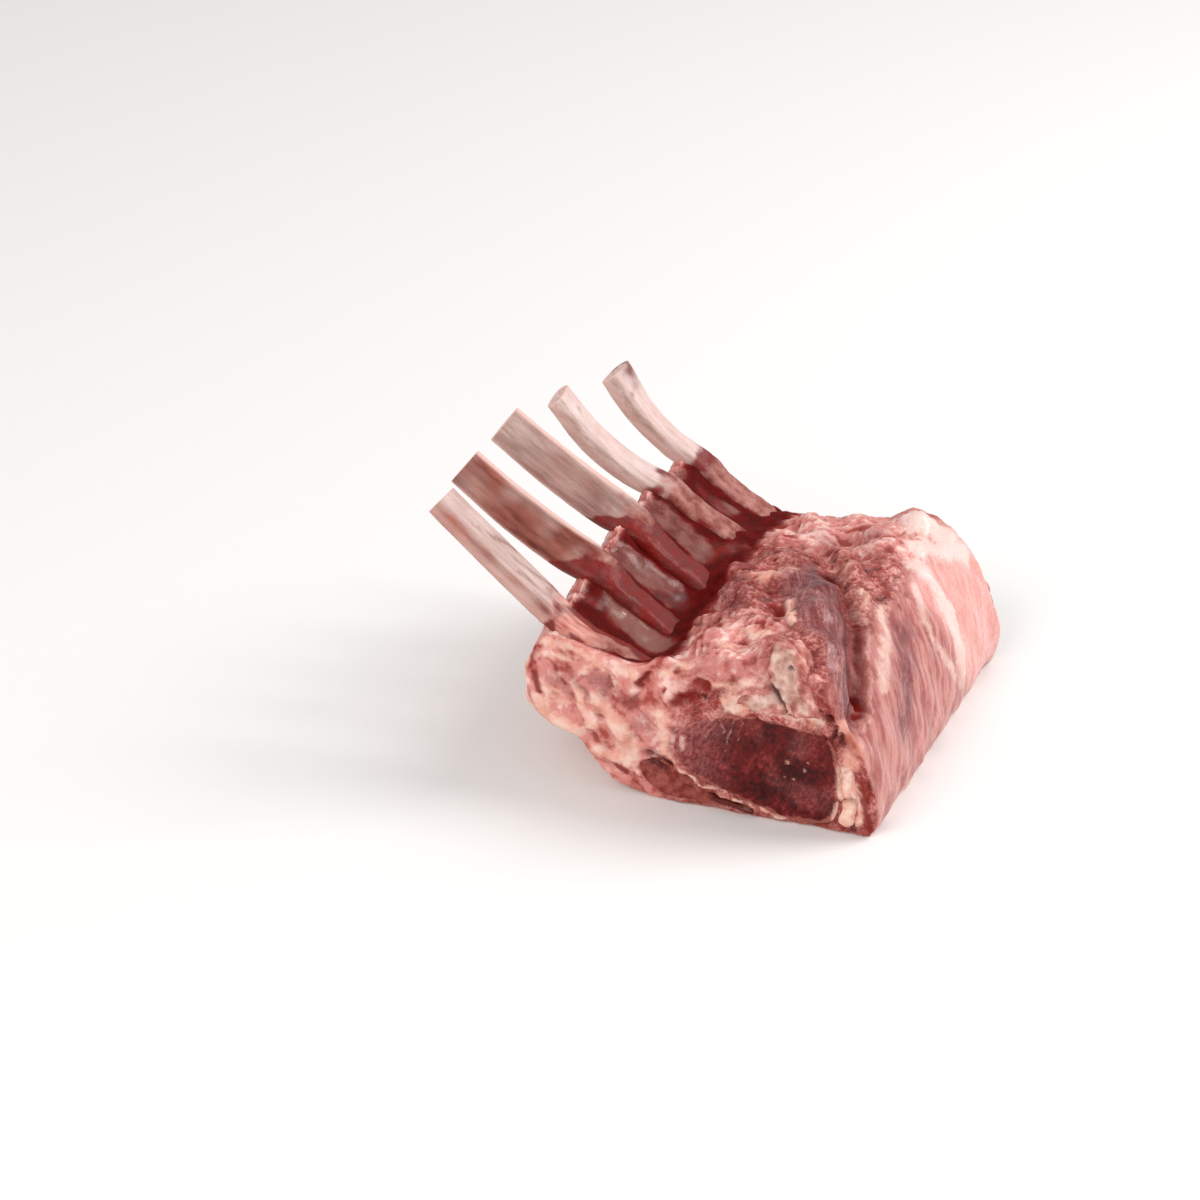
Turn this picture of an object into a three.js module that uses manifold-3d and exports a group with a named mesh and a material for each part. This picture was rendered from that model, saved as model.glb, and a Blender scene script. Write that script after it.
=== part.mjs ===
// A lamb short rack: five frenched rib bones standing out of one block of shoulder meat.
// Millimetres, +Z up. The ribs follow one another along Y, their bare ends rise towards -X,
// and the block stands on its fat-covered outer side. The origin is the middle of its footprint.

import * as THREE from 'three';
import Module from 'manifold-3d';

// Driving dimensions
const RACK_LENGTH = 119;        // from the front cut to the back cut
const RIB_COUNT = 5;
const RIB_PITCH = 26;           // from the middle of one rib to the next
const RIB_THICKNESS = 6;
const SIDE_X = 68;              // the sawn side, at its foot
const LIP_X = -27;              // where the bare bones leave the meat
const LIP_HEIGHT = 45;
const CREST_X = 40;             // the ragged ridge left by the saw
const CREST_HEIGHT = 50;
const HOLLOW_HEIGHT = 34.5;     // the rib cage's floor above the table
const CLEARANCE = 0.3;          // between a piece and the meat round it
const BASE_SKIN = 1.2;          // meat left under the pieces that run through

const HALF_LENGTH = RACK_LENGTH / 2;
const FIRST_RIB_Y = -RIB_PITCH * (RIB_COUNT - 1) / 2 + 0.5;

// The bare bones, front to back: where each tip stands across the rack, how far it leans to the
// front, how wide the bone is at its middle and at its tip, how many degrees it is turned about
// its own length, and how far it bows between meat and tip.
const RIBS = [
  { tip: [-62.6, 76.2], lean: 0, width: 12.4, tipWidth: 12.4, turn: 4, bow: 0.3 },
  { tip: [-66.2, 75.3], lean: 1, width: 12.2, tipWidth: 11.6, turn: 52, bow: 1.5 },
  { tip: [-63.3, 79.8], lean: 5, width: 12.4, tipWidth: 12.0, turn: 48, bow: 1.0 },
  { tip: [-56.5, 80.0], lean: 7, width: 12.0, tipWidth: 11.0, turn: 2, bow: 3.8 },
  { tip: [-50.7, 76.4], lean: 2, width: 9.8, tipWidth: 13.2, turn: 8, bow: 3.0 },
];

const mix = (a, b, share) => a + (b - a) * share;
const bump = (distance, reach) => Math.exp(-((distance / reach) ** 2));
const ramp = (value, from, to) => THREE.MathUtils.smoothstep(value, from, to);
const share = (y) => (y + HALF_LENGTH) / RACK_LENGTH;
const ribY = (index) => FIRST_RIB_Y + RIB_PITCH * index;

// Heights that change along the rack: the lip is highest past the middle, the ridge falls to the
// back, and the hollow's floor rises behind the middle and at the front rim.
const lipRise = (y) => 9.5 * Math.sin(Math.PI * (share(y) - 0.03) / 1.25);
const crestFall = (y) => 5.8 * ramp(share(y), 0.1, 1.0);
const hollowRise = (y) => 5.5 * bump(y + HALF_LENGTH, 9) + 6.5 * bump(y - 24, 26);

// The sawn side leans over the block as it rises.
const SIDE_LEAN = 23;
const SIDE_CURVE = 2.4;
const SIDE_TOP = 46;
const sideX = (z) => SIDE_X - SIDE_LEAN * (z / SIDE_TOP) ** SIDE_CURVE;

// The middle line of a rib inside the meat: along the hollow's floor and up to the lip.
const RIB_DEPTH = 2.3;          // from the meat's surface to the rib's middle line

function buriedLine(y) {
  const floor = HOLLOW_HEIGHT - RIB_DEPTH + hollowRise(y);
  const leave = LIP_HEIGHT - 2.4 + lipRise(y);
  const heights = [-0.26, 0.12, 0.38, 0.66, 1].map((part) => mix(floor, leave, part));
  return [11, -3, -11, -17.5, LIP_X + 3.5].map((x, i) => new THREE.Vector2(x, heights[i]));
}

// The hollow's surface lies a little above the ribs' middle lines and leaves their faces proud.
function hollowLine(y) {
  const line = buriedLine(y);
  return line.map((point, i) => {
    const before = line[Math.max(i - 1, 0)];
    const after = line[Math.min(i + 1, line.length - 1)];
    const along = after.clone().sub(before).normalize();
    return [point.x - RIB_DEPTH * along.y, point.y - RIB_DEPTH * along.x];
  });
}

// The block's outline across the ribs at one place along the rack, from the foot of the sawn
// side over the ridge, down into the rib cage, over the lip and back along the table.
function blockOutline(y) {
  const lip = lipRise(y);
  const crest = CREST_HEIGHT - crestFall(y);
  const crestX = CREST_X + 0.8 * crestFall(y);
  const inward = 9 * bump(y - 2, 34);
  const dip = 4 * ramp(y, 46, 60);
  const side = [0.15, 0.38, 0.6, 0.8].map((part) => {
    const z = part * SIDE_TOP;
    return [sideX(z), z];
  });
  return [
    [SIDE_X - 2.5, 0],
    ...side,
    [crestX + 7, crest - 4.5],
    [crestX - 3, crest],
    [crestX - 14, crest - 2.6 - 0.6 * dip],
    [18 - inward, crest - 3 - dip],
    [10.5 - inward, mix(crest - 5 - dip, HOLLOW_HEIGHT + hollowRise(y) + 2, 0.4)],
    ...hollowLine(y).slice(1),
    [LIP_X - 1.5, LIP_HEIGHT + 0.8 + lip],
    [LIP_X - 5.5, LIP_HEIGHT - 4 + lip],
    [LIP_X - 8, 32 + 0.5 * lip],
    [LIP_X - 7.4, 23.5],
    [LIP_X - 1.5, 17.6],
    [LIP_X + 7, 14.6],
    [LIP_X + 12.5, 8.2],
    [LIP_X + 19, 2.8],
    [LIP_X + 30, 0],
    [20, 0],
    [36, 0],
    [52, 0],
  ];
}

// Relief of the block, in millimetres along its outward normal.
function blockRelief(x, y, z, normal) {
  const up = Math.max(normal.y, 0);
  const onRidge = ramp(x, -2, 6) * ramp(-x, -56, -48) * ramp(z, 36, 41);
  const torn = 0.9 * Math.sin(0.36 * x + 0.21 * y) + 0.8 * Math.sin(0.24 * x - 0.33 * y + 1.7)
    + 0.6 * Math.sin(0.41 * y + 0.12 * x + 0.6);
  const strip = sinewX(y);
  const sinew = 1.6 * bump(x - strip + 6, 5) - 2.6 * bump(x - strip - 2.2, 3);
  const sinewPart = ramp(y, -60, -54) * ramp(-y, -34, -22) * ramp(z, 25, 32);
  const nearest = Math.round((y - FIRST_RIB_Y) / RIB_PITCH);
  const fromRib = y - ribY(THREE.MathUtils.clamp(nearest, 0, RIB_COUNT - 1));
  const between = 1 - bump(fromRib, 7.5);
  const inHollow = up * ramp(-x, -6, 0) * ramp(x, -22, -17);
  const onLip = bump(x - LIP_X, 6) * ramp(z, 38, 43);
  const onSide = ramp(x, 52, 57) * ramp(z, 2, 8) * ramp(-z, -40, -34);
  const streak = Math.sin(0.42 * (y + 0.55 * z) + 0.8 * Math.sin(0.11 * y));
  const onLeft = ramp(-x, 14, 22) * ramp(-z, -40, -34);
  const creases = Math.sin(0.55 * z + 0.13 * y) * Math.sin(0.17 * y + 0.9);
  return onRidge * torn * (1 - 0.6 * sinewPart * bump(x - strip, 7))
    + sinewPart * sinew
    - 1.3 * inHollow * between
    - 2.4 * onLip * between
    + 0.7 * onSide * streak
    + 1.1 * onLeft * creases;
}

// The silverskin strip crosses the ridge from the middle of the back to the front right corner.
function sinewX(y) {
  return 58 - 39 * ((y + HALF_LENGTH) / 87) ** 1.35;
}

const SMOOTH_STEPS = 3;         // points on a curve for each point that shapes it

function smoothLoop(corners, steps) {
  const points = corners.map(([x, z]) => new THREE.Vector3(x, z, 0));
  const curve = new THREE.CatmullRomCurve3(points, true, 'centripetal');
  const count = corners.length * steps;
  return Array.from({ length: count }, (_, i) => {
    const point = curve.getPoint(i / count);
    return new THREE.Vector2(point.x, Math.max(point.y, 0));
  });
}

// Outward directions at a loop's points, each halfway between its two sides.
function loopNormals(loop) {
  return loop.map((point, i) => {
    const before = point.clone().sub(loop[(i + loop.length - 1) % loop.length]).normalize();
    const after = loop[(i + 1) % loop.length].clone().sub(point).normalize();
    const along = before.add(after);
    return new THREE.Vector2(along.y, -along.x).normalize();
  });
}

// Moves every side of a loop out by the same distance, with its sharpest corners held back.
function growLoop(loop, out) {
  const longest = 2.5;
  return loopNormals(loop).map((normal, i) => {
    const side = loop[(i + 1) % loop.length].clone().sub(loop[i]).normalize();
    const squareness = Math.max(normal.x * side.y - normal.y * side.x, 1 / longest);
    return loop[i].clone().addScaledVector(normal, out / squareness);
  });
}

// Skins closed rings, all with the same number of points, into one closed body.
function skin(rings) {
  const size = rings[0].length;
  const positions = rings.flat().flatMap((point) => [point.x, point.y, point.z]);
  const indices = [];
  for (let ring = 0; ring < rings.length - 1; ring++) {
    for (let i = 0; i < size; i++) {
      const a = ring * size + i;
      const b = ring * size + (i + 1) % size;
      indices.push(a, b, b + size, a, b + size, a + size);
    }
  }
  indices.push(...endFaces(rings[0], 0, true));
  indices.push(...endFaces(rings.at(-1), (rings.length - 1) * size, false));
  const geometry = new THREE.BufferGeometry();
  geometry.setAttribute('position', new THREE.Float32BufferAttribute(positions, 3));
  geometry.setIndex(indices);
  return facingOut(geometry);
}

// Fills one end ring with triangles, in the ring's own plane.
function endFaces(ring, start, first) {
  const normal = ringNormal(ring);
  const across = ring[1].clone().sub(ring[0]).normalize();
  const upward = normal.clone().cross(across).normalize();
  const flat = ring.map((point) => new THREE.Vector2(point.dot(across), point.dot(upward)));
  const faces = THREE.ShapeUtils.triangulateShape(flat, []);
  return faces.flatMap(([a, b, c]) => {
    const area = (flat[b].x - flat[a].x) * (flat[c].y - flat[a].y)
      - (flat[c].x - flat[a].x) * (flat[b].y - flat[a].y);
    const followsRing = area > 0;
    const order = followsRing === first ? [c, b, a] : [a, b, c];
    return order.map((corner) => corner + start);
  });
}

function ringNormal(ring) {
  const normal = new THREE.Vector3();
  ring.forEach((point, i) => {
    normal.add(point.clone().cross(ring[(i + 1) % ring.length]));
  });
  return normal.normalize();
}

function facingOut(geometry) {
  const position = geometry.getAttribute('position');
  const index = geometry.getIndex().array;
  const corner = [new THREE.Vector3(), new THREE.Vector3(), new THREE.Vector3()];
  let volume = 0;
  for (let i = 0; i < index.length; i += 3) {
    corner.forEach((point, k) => point.fromBufferAttribute(position, index[i + k]));
    volume += corner[0].dot(corner[1].clone().cross(corner[2]));
  }
  if (volume < 0) {
    for (let i = 0; i < index.length; i += 3) {
      [index[i + 1], index[i + 2]] = [index[i + 2], index[i + 1]];
    }
  }
  return geometry;
}

// The block of meat: outlines at even steps, drawn in a little at the two cuts.
const BLOCK_STEPS = 36;
const CUT_ROUNDING = 0.6;

function blockSkin() {
  const rings = [];
  for (let step = 0; step <= BLOCK_STEPS; step++) {
    const y = mix(-HALF_LENGTH, HALF_LENGTH, step / BLOCK_STEPS);
    const fromCut = Math.min(step, BLOCK_STEPS - step);
    const drawnIn = fromCut === 0 ? CUT_ROUNDING : 0;
    const loop = smoothLoop(blockOutline(y), SMOOTH_STEPS);
    const normals = loopNormals(loop);
    rings.push(loop.map((point, i) => {
      const out = blockRelief(point.x, y, point.y, normals[i]) - drawnIn;
      const onTable = point.y < 0.01;
      const foot = drawnIn * (0.6 + 0.1 * Math.sin(0.2 * point.x));
      const x = point.x + out * normals[i].x;
      const z = onTable ? foot : Math.max(point.y + out * normals[i].y, foot);
      return new THREE.Vector3(x, y, z);
    }));
  }
  return skin(rings);
}

// A muscle, fat or sinew that runs along the rack between two places, seen at the cuts.
function strand(corners, from, to, grow) {
  const steps = 8;
  const loop = smoothLoop(corners, 2);
  const rings = [];
  for (let step = 0; step <= steps; step++) {
    const y = mix(from, to, step / steps);
    const atEnd = step === 0 || step === steps;
    const out = grow - (atEnd && grow === 0 ? 0.4 : 0);
    rings.push(growLoop(loop, out).map((point) => new THREE.Vector3(point.x, y, point.y)));
  }
  return skin(rings);
}

// The loin eye at the cut, an upright sinew beside it, and the thin muscle under both.
const EYE_OUTLINE = [
  [55, 3.2], [57, 12], [56.2, 22], [52, 28.6], [44, 30], [34, 31], [25, 30], [17, 27],
  [11, 23.5], [8.8, 17.5], [11, 12.2], [17, 8.6], [25, 6], [33, 3.6], [40, BASE_SKIN + 0.8],
  [48, BASE_SKIN + 0.1],
];
const SINEW_OUTLINE = [
  [61.4, 3.2], [62.4, 9], [61.8, 16], [60.4, 20.6], [58.2, 19], [57.9, 14], [58.3, 8], [57.2, 3.4],
  [59, 2],
];
const UNDER_OUTLINE = [
  [32.5, BASE_SKIN + 0.7], [29, 3.5], [22, 5.2], [14, 8.2], [7, 11.4], [2, 12.6], [-1, 10.6],
  [0, 6], [5, 2.4], [12, BASE_SKIN + 0.2], [22, BASE_SKIN],
];
const LUMP_OUTLINE = [
  [50.5, 33.5], [48.5, 41], [46, 48], [42, 53], [37.5, 52.5], [35.5, 46], [34.5, 40], [29, 37.5],
  [26.5, 33.6], [34, 32.8], [42, 32.4],
];
const LUMP_DEPTH = 14;

// The pale lump of gristle on the ridge at the front cut: its outline shrinks to a round back.
function lump(grow) {
  const steps = 5;
  const loop = smoothLoop(LUMP_OUTLINE, 2);
  const middle = new THREE.Vector2(40, 38);
  const rings = [];
  for (let step = 0; step <= steps; step++) {
    const depth = step / steps;
    const size = Math.sqrt(1 - (0.85 * depth) ** 2) * (step === 0 ? 0.97 : 1);
    const y = -HALF_LENGTH + depth * (LUMP_DEPTH + grow) - (step === 0 && grow > 0 ? 2 : 0);
    rings.push(growLoop(loop, grow).map((point) => {
      const { x, y: z } = point.sub(middle).multiplyScalar(size).add(middle);
      return new THREE.Vector3(x, y, z);
    }));
  }
  return skin(rings);
}

// A rib's middle line, from its end under the ridge round the hollow to the bare tip.
function ribLine(index) {
  const { tip, lean, bow } = RIBS[index];
  const y = ribY(index);
  const buried = buriedLine(y);
  const leave = buried.at(-1);
  const path = new THREE.Vector2(...tip).sub(leave);
  const sag = new THREE.Vector2(-path.y, path.x).normalize().multiplyScalar(bow);
  const bare = [0.3, 0.65, 1].map((part) => {
    const fullness = 4 * part * (1 - part);
    const point = leave.clone().addScaledVector(path, part).addScaledVector(sag, fullness);
    return new THREE.Vector3(point.x, y - lean * part, point.y);
  });
  const inside = buried.map((point) => new THREE.Vector3(point.x, y, point.y));
  return new THREE.CatmullRomCurve3([...inside, ...bare], false, 'centripetal');
}

// A rib is a flat oval carried along its line. It narrows into the meat, flares or tapers to
// its tip, and turns about its length once it is bare.
const RIB_STEPS = 22;
const RIB_SIDES = 12;
const BURIED_WIDTH = 10.5;

function rib(index, grow) {
  const { width, tipWidth, turn } = RIBS[index];
  const line = ribLine(index);
  const rings = [];
  for (let step = 0; step <= RIB_STEPS; step++) {
    const place = step / RIB_STEPS;
    const point = line.getPointAt(place);
    const along = line.getTangentAt(place);
    const bare = ramp(place, 0.36, 0.6);
    const flare = ramp(place, 0.7, 1.0);
    const angle = -THREE.MathUtils.degToRad(turn) * bare;
    const halfWidth = mix(mix(BURIED_WIDTH, width, bare), tipWidth, flare) / 2 + grow;
    const halfThickness = mix(RIB_THICKNESS, RIB_THICKNESS * 0.92, flare) / 2 + grow;
    const inward = new THREE.Vector3(along.z, 0, -along.x).normalize();
    const across = inward.clone().cross(along).applyAxisAngle(along, angle);
    inward.applyAxisAngle(along, angle);
    rings.push(ovalRing(point, across, inward, halfWidth, halfThickness));
  }
  return skin(rings);
}

// A superellipse: flat faces with round edges.
const OVAL_SQUARENESS = 0.72;

function ovalRing(centre, across, inward, halfWidth, halfThickness) {
  return Array.from({ length: RIB_SIDES }, (_, i) => {
    const turn = 2 * Math.PI * (i + 0.5) / RIB_SIDES;
    const square = (value) => Math.sign(value) * Math.abs(value) ** OVAL_SQUARENESS;
    return centre.clone()
      .addScaledVector(across, halfWidth * square(Math.cos(turn)))
      .addScaledVector(inward, halfThickness * square(Math.sin(turn)));
  });
}

// Cutting the pockets that the pieces lie in
const wasm = await Module();
wasm.setup();

function toSolid(geometry) {
  const mesh = new wasm.Mesh({
    numProp: 3,
    vertProperties: new Float32Array(geometry.getAttribute('position').array),
    triVerts: new Uint32Array(geometry.getIndex().array),
  });
  return new wasm.Manifold(mesh);
}

function toGeometry(solid) {
  const mesh = solid.getMesh();
  const geometry = new THREE.BufferGeometry();
  geometry.setAttribute('position', new THREE.Float32BufferAttribute(mesh.vertProperties, 3));
  geometry.setIndex([...mesh.triVerts]);
  return geometry;
}

function cutPockets(geometry, pockets) {
  const pieces = pockets.map(toSolid);
  const cut = pieces.reduce((rest, pocket) => rest.subtract(pocket), toSolid(geometry));
  const bodies = cut.decompose();
  bodies.sort((a, b) => b.volume() - a.volume());
  return toGeometry(bodies[0]);
}

// Materials
const finish = (color, roughness) => new THREE.MeshStandardMaterial({
  color, roughness, metalness: 0, flatShading: true,
});
const LEAN = finish('#b4605a', 0.45);
const DARK_LEAN = finish('#6e2a2c', 0.4);
const UNDER_LEAN = finish('#8e3c38', 0.42);
const FAT = finish('#ecc7b0', 0.5);
const CREAM = finish('#e9d7bd', 0.5);
const BONE = finish('#c9b7ab', 0.55);

const rack = new THREE.Group();

function addPiece(name, geometry, material) {
  geometry.computeVertexNormals();
  const mesh = new THREE.Mesh(geometry, material);
  mesh.name = name;
  rack.add(mesh);
}

const cutEnd = HALF_LENGTH;
const pastCut = HALF_LENGTH + 2;
const ribs = RIBS.map((_, index) => index);

addPiece('meat_block', cutPockets(blockSkin(), [
  strand(EYE_OUTLINE, -pastCut, pastCut, CLEARANCE),
  strand(SINEW_OUTLINE, -pastCut, pastCut, CLEARANCE),
  strand(UNDER_OUTLINE, -pastCut, pastCut, CLEARANCE),
  lump(CLEARANCE),
  ...ribs.map((index) => rib(index, CLEARANCE)),
]), LEAN);
addPiece('loin_eye', strand(EYE_OUTLINE, -cutEnd, cutEnd, 0), DARK_LEAN);
addPiece('under_muscle', strand(UNDER_OUTLINE, -cutEnd, cutEnd, 0), UNDER_LEAN);
addPiece('back_sinew', strand(SINEW_OUTLINE, -cutEnd, cutEnd, 0), FAT);
addPiece('ridge_lump', lump(0), CREAM);
ribs.forEach((index) => addPiece(`rib_${index + 1}`, rib(index, 0), BONE));

export default rack;
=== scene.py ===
import bpy
import numpy as np
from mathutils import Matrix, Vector


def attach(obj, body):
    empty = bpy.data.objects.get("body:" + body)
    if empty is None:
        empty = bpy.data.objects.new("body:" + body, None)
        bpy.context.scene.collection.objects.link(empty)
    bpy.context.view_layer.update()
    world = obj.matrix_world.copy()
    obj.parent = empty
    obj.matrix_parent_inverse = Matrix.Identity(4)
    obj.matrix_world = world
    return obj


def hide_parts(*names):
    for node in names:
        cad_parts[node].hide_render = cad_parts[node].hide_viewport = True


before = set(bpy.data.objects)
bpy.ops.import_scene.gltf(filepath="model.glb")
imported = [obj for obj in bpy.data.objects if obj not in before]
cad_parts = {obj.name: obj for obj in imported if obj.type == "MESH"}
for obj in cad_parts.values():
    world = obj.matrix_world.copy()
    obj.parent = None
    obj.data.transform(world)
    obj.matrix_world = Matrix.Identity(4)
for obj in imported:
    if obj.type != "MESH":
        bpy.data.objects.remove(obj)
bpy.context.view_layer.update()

# The meat block
# One piece of lamb shoulder with its ribs in it, cut square across at both ends. It stands on
# its fat-covered outer side: the sawn side leans up on the right, the torn ridge runs along the
# top, and the inside of the rib cage opens to the left, under the bare bones.
MM = 0.001
RACK_LENGTH = 119.0
HALF_LENGTH = RACK_LENGTH / 2
RIB_COUNT = 5
RIB_PITCH = 26.0
FIRST_RIB_Y = -RIB_PITCH * (RIB_COUNT - 1) / 2 + 0.5
RIB_THICKNESS = 6.0
RIB_DEPTH = 2.3
SIDE_X = 68.0
SIDE_LEAN = 23.0
SIDE_CURVE = 2.4
SIDE_TOP = 46.0
LIP_X = -27.0
LIP_HEIGHT = 45.0
LIP_RISE = 9.5
CREST_X = 40.0
CREST_HEIGHT = 50.0
CREST_FALL = 5.8
HOLLOW_HEIGHT = 34.5
BASE_SKIN = 1.2
CUT_ROUNDING = 1.2
CUT_STEPS = 52
CUT_MIDDLE = (15.0, 18.0)
BLOCK_RINGS = 152
BLOCK_STEP = 0.72
TABLE_STEP = 2.2 * BLOCK_STEP
MOST_PROUD = 1.1
POCKET_DEPTH = 2.2


def mix(a, b, share):
    """The value that lies the given share of the way from a to b."""
    return a + (b - a) * share


def bump(distance, reach):
    """A bell: 1 at no distance, falling as e to the minus square of distance over reach."""
    return np.exp(-((distance / reach) ** 2))


def ramp(value, low, high):
    """0 below low, 1 above high, and the smooth cubic 3t^2 - 2t^3 between them."""
    share = np.clip((value - low) / (high - low), 0, 1)
    return share * share * (3 - 2 * share)


def fall(value, low, high):
    """The ramp turned round: 1 below low and 0 above high."""
    return ramp(-value, -high, -low)


def share_along(y):
    return (y + HALF_LENGTH) / RACK_LENGTH


def lip_rise(y):
    return LIP_RISE * np.sin(np.pi * (share_along(y) - 0.03) / 1.25)


def crest_fall(y):
    return CREST_FALL * ramp(share_along(y), 0.1, 1.0)


def hollow_rise(y):
    return 5.5 * bump(y + HALF_LENGTH, 9) + 6.5 * bump(y - 24, 26)


def side_x(z):
    return SIDE_X - SIDE_LEAN * (z / SIDE_TOP) ** SIDE_CURVE


def rib_y(index):
    return FIRST_RIB_Y + RIB_PITCH * index


def nearest_rib_y(y):
    return rib_y(np.clip(np.round((y - FIRST_RIB_Y) / RIB_PITCH), 0, RIB_COUNT - 1))


def points_of(rows, y):
    """Stacks rows of (x, z), each a number or one number for each y, into a y by row by 2 array."""
    return np.stack([np.stack([x + 0 * y, z + 0 * y], -1) for x, z in rows], 1)


def buried_line(y):
    """The middle line of a rib inside the meat at each y, from the ridge to the lip."""
    floor = HOLLOW_HEIGHT - RIB_DEPTH + hollow_rise(y)
    leave = LIP_HEIGHT - 2.4 + lip_rise(y)
    shares = (-0.26, 0.12, 0.38, 0.66, 1.0)
    places = (11, -3, -11, -17.5, LIP_X + 3.5)
    return points_of([(x, mix(floor, leave, share)) for x, share in zip(places, shares)], y)


def hollow_line(y):
    """The hollow's surface: the buried line moved up, square to itself, by the ribs' depth."""
    line = buried_line(y)
    along = line[:, [1, 2, 3, 4, 4]] - line[:, [0, 0, 1, 2, 3]]
    along /= np.linalg.norm(along, axis=2)[:, :, None]
    return line - RIB_DEPTH * along[:, :, ::-1]


def block_corners(y):
    """The points that shape the block's outline at each y: up the sawn side, over the ridge, down
    into the rib cage, over the lip and back along the table."""
    lip = lip_rise(y)
    crest = CREST_HEIGHT - crest_fall(y)
    crest_x = CREST_X + 0.8 * crest_fall(y)
    inward = 9 * bump(y - 2, 34)
    dip = 4 * ramp(y, 46, 60)
    side = [(side_x(part * SIDE_TOP), part * SIDE_TOP) for part in (0.15, 0.38, 0.6, 0.8)]
    inner = mix(crest - 5 - dip, HOLLOW_HEIGHT + hollow_rise(y) + 2, 0.4)
    over = points_of([
        (SIDE_X - 2.5, 0), *side, (crest_x + 7, crest - 4.5), (crest_x - 3, crest),
        (crest_x - 14, crest - 2.6 - 0.6 * dip), (18 - inward, crest - 3 - dip), (10.5 - inward, inner),
    ], y)
    back = points_of([
        (LIP_X - 1.5, LIP_HEIGHT + 0.8 + lip), (LIP_X - 5.5, LIP_HEIGHT - 4 + lip),
        (LIP_X - 8, 32 + 0.5 * lip), (LIP_X - 7.4, 23.5), (LIP_X - 1.5, 17.6), (LIP_X + 7, 14.6),
        (LIP_X + 12.5, 8.2), (LIP_X + 19, 2.8), (LIP_X + 30, 0), (20, 0), (36, 0), (52, 0),
    ], y)
    return np.concatenate([over, hollow_line(y)[:, 1:], back], 1)


def closed_spline(corners, counts):
    """A smooth closed curve through the corners, for each row of them. Every side is a cubic whose
    end slopes are weighed by the square roots of its own and its neighbours' lengths."""
    before, start, end, after = (np.roll(corners, shift, 1) for shift in (1, 0, -1, -2))
    first, middle, last = (np.sqrt(np.linalg.norm(b - a, axis=2))[:, :, None]
                           for a, b in ((before, start), (start, end), (end, after)))
    leave = middle * ((start - before) / first - (end - before) / (first + middle) + (end - start) / middle)
    arrive = middle * ((end - start) / middle - (after - start) / (middle + last) + (after - end) / last)
    sides = []
    for side, count in enumerate(counts):
        t = (np.arange(count) / count)[None, :, None]
        a, b, u, v = (part[:, side, None] for part in (start, end, leave, arrive))
        sides.append(a + u * t + (3 * (b - a) - 2 * u - v) * t**2 + (2 * (a - b) + u + v) * t**3)
    return np.concatenate(sides, 1)


def block_outline(y):
    """The block's outline at each y, with points about as far apart as the mesh is fine, and
    farther apart on the table."""
    corners = block_corners(y)
    lengths = np.linalg.norm(np.roll(corners, -1, 1) - corners, axis=2).mean(0)
    on_table = (corners[0, :, 1] < 0.01) & (np.roll(corners, -1, 1)[0, :, 1] < 0.01)
    counts = np.maximum(np.round(lengths / np.where(on_table, TABLE_STEP, BLOCK_STEP)), 2)
    loops = closed_spline(corners, counts.astype(int))
    loops[:, :, 1] = np.maximum(loops[:, :, 1], 0)
    return loops


def loop_normals(loops):
    """Outward directions in the plane of each loop, square to the line between its neighbours."""
    along = np.roll(loops, -1, 1) - np.roll(loops, 1, 1)
    across = np.stack([along[:, :, 1], -along[:, :, 0]], -1)
    return across / np.linalg.norm(across, axis=2)[:, :, None]


def cut_rings(outline, y, centre, steps, rounding):
    """Rings of a body that runs along the rack and is cut square at both ends. At a cut the outline
    turns round an edge of the given rounding, then shrinks to the centre in the given steps."""
    centre = np.array(centre)
    lifts = rounding * np.array([1.0, 0.62, 0.29, 0.08, 0.0])
    insets = rounding * np.array([0.0, 0.08, 0.29, 0.62, 1.0])
    front_y, back_y = y[0] - rounding + lifts, y[-1] + rounding - lifts
    all_y = np.concatenate([front_y[::-1][:-1], y, back_y[1:]])
    drawn_in = np.concatenate([insets[::-1][:-1], 0 * y, insets[1:]])
    loops = outline(np.clip(all_y, y[0], y[-1]))
    loops = loops - drawn_in[:, None, None] * loop_normals(loops)
    shrink = np.linspace(1, 0.03, steps)[1:, None, None]
    front, back = centre + shrink[::-1] * (loops[0] - centre), centre + shrink * (loops[-1] - centre)
    loops = np.concatenate([front, loops, back])
    ring_y = np.concatenate([np.full(len(front), all_y[0]), all_y, np.full(len(back), all_y[-1])])
    ring_y = np.repeat(ring_y[:, None], loops.shape[1], 1)
    return np.stack([loops[:, :, 0], ring_y, loops[:, :, 1]], -1)


def skin(rings):
    """A closed skin over a stack of rings: four-sided faces from ring to ring, and a fan of
    triangles round the middle of the first and the last. Returns points and faces."""
    count, size = rings.shape[:2]
    points = np.concatenate([rings.reshape(-1, 3), rings[0].mean(0)[None], rings[-1].mean(0)[None]])
    here = np.arange((count - 1) * size).reshape(count - 1, size)
    there = np.roll(here, -1, 1)
    quads = np.stack([here, there, there + size, here + size], -1).reshape(-1, 4)
    first = np.arange(size)
    last = first + (count - 1) * size
    fans = [np.stack([np.roll(first, -1), first, np.full(size, count * size)], -1),
            np.stack([last, np.roll(last, -1), np.full(size, count * size + 1)], -1)]
    corners = points[quads]
    volume = (np.cross(corners[:, 0], corners[:, 1]) * corners[:, 2]).sum()
    faces = [quads, *fans]
    return points, faces if volume > 0 else [face[:, ::-1] for face in faces]


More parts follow.
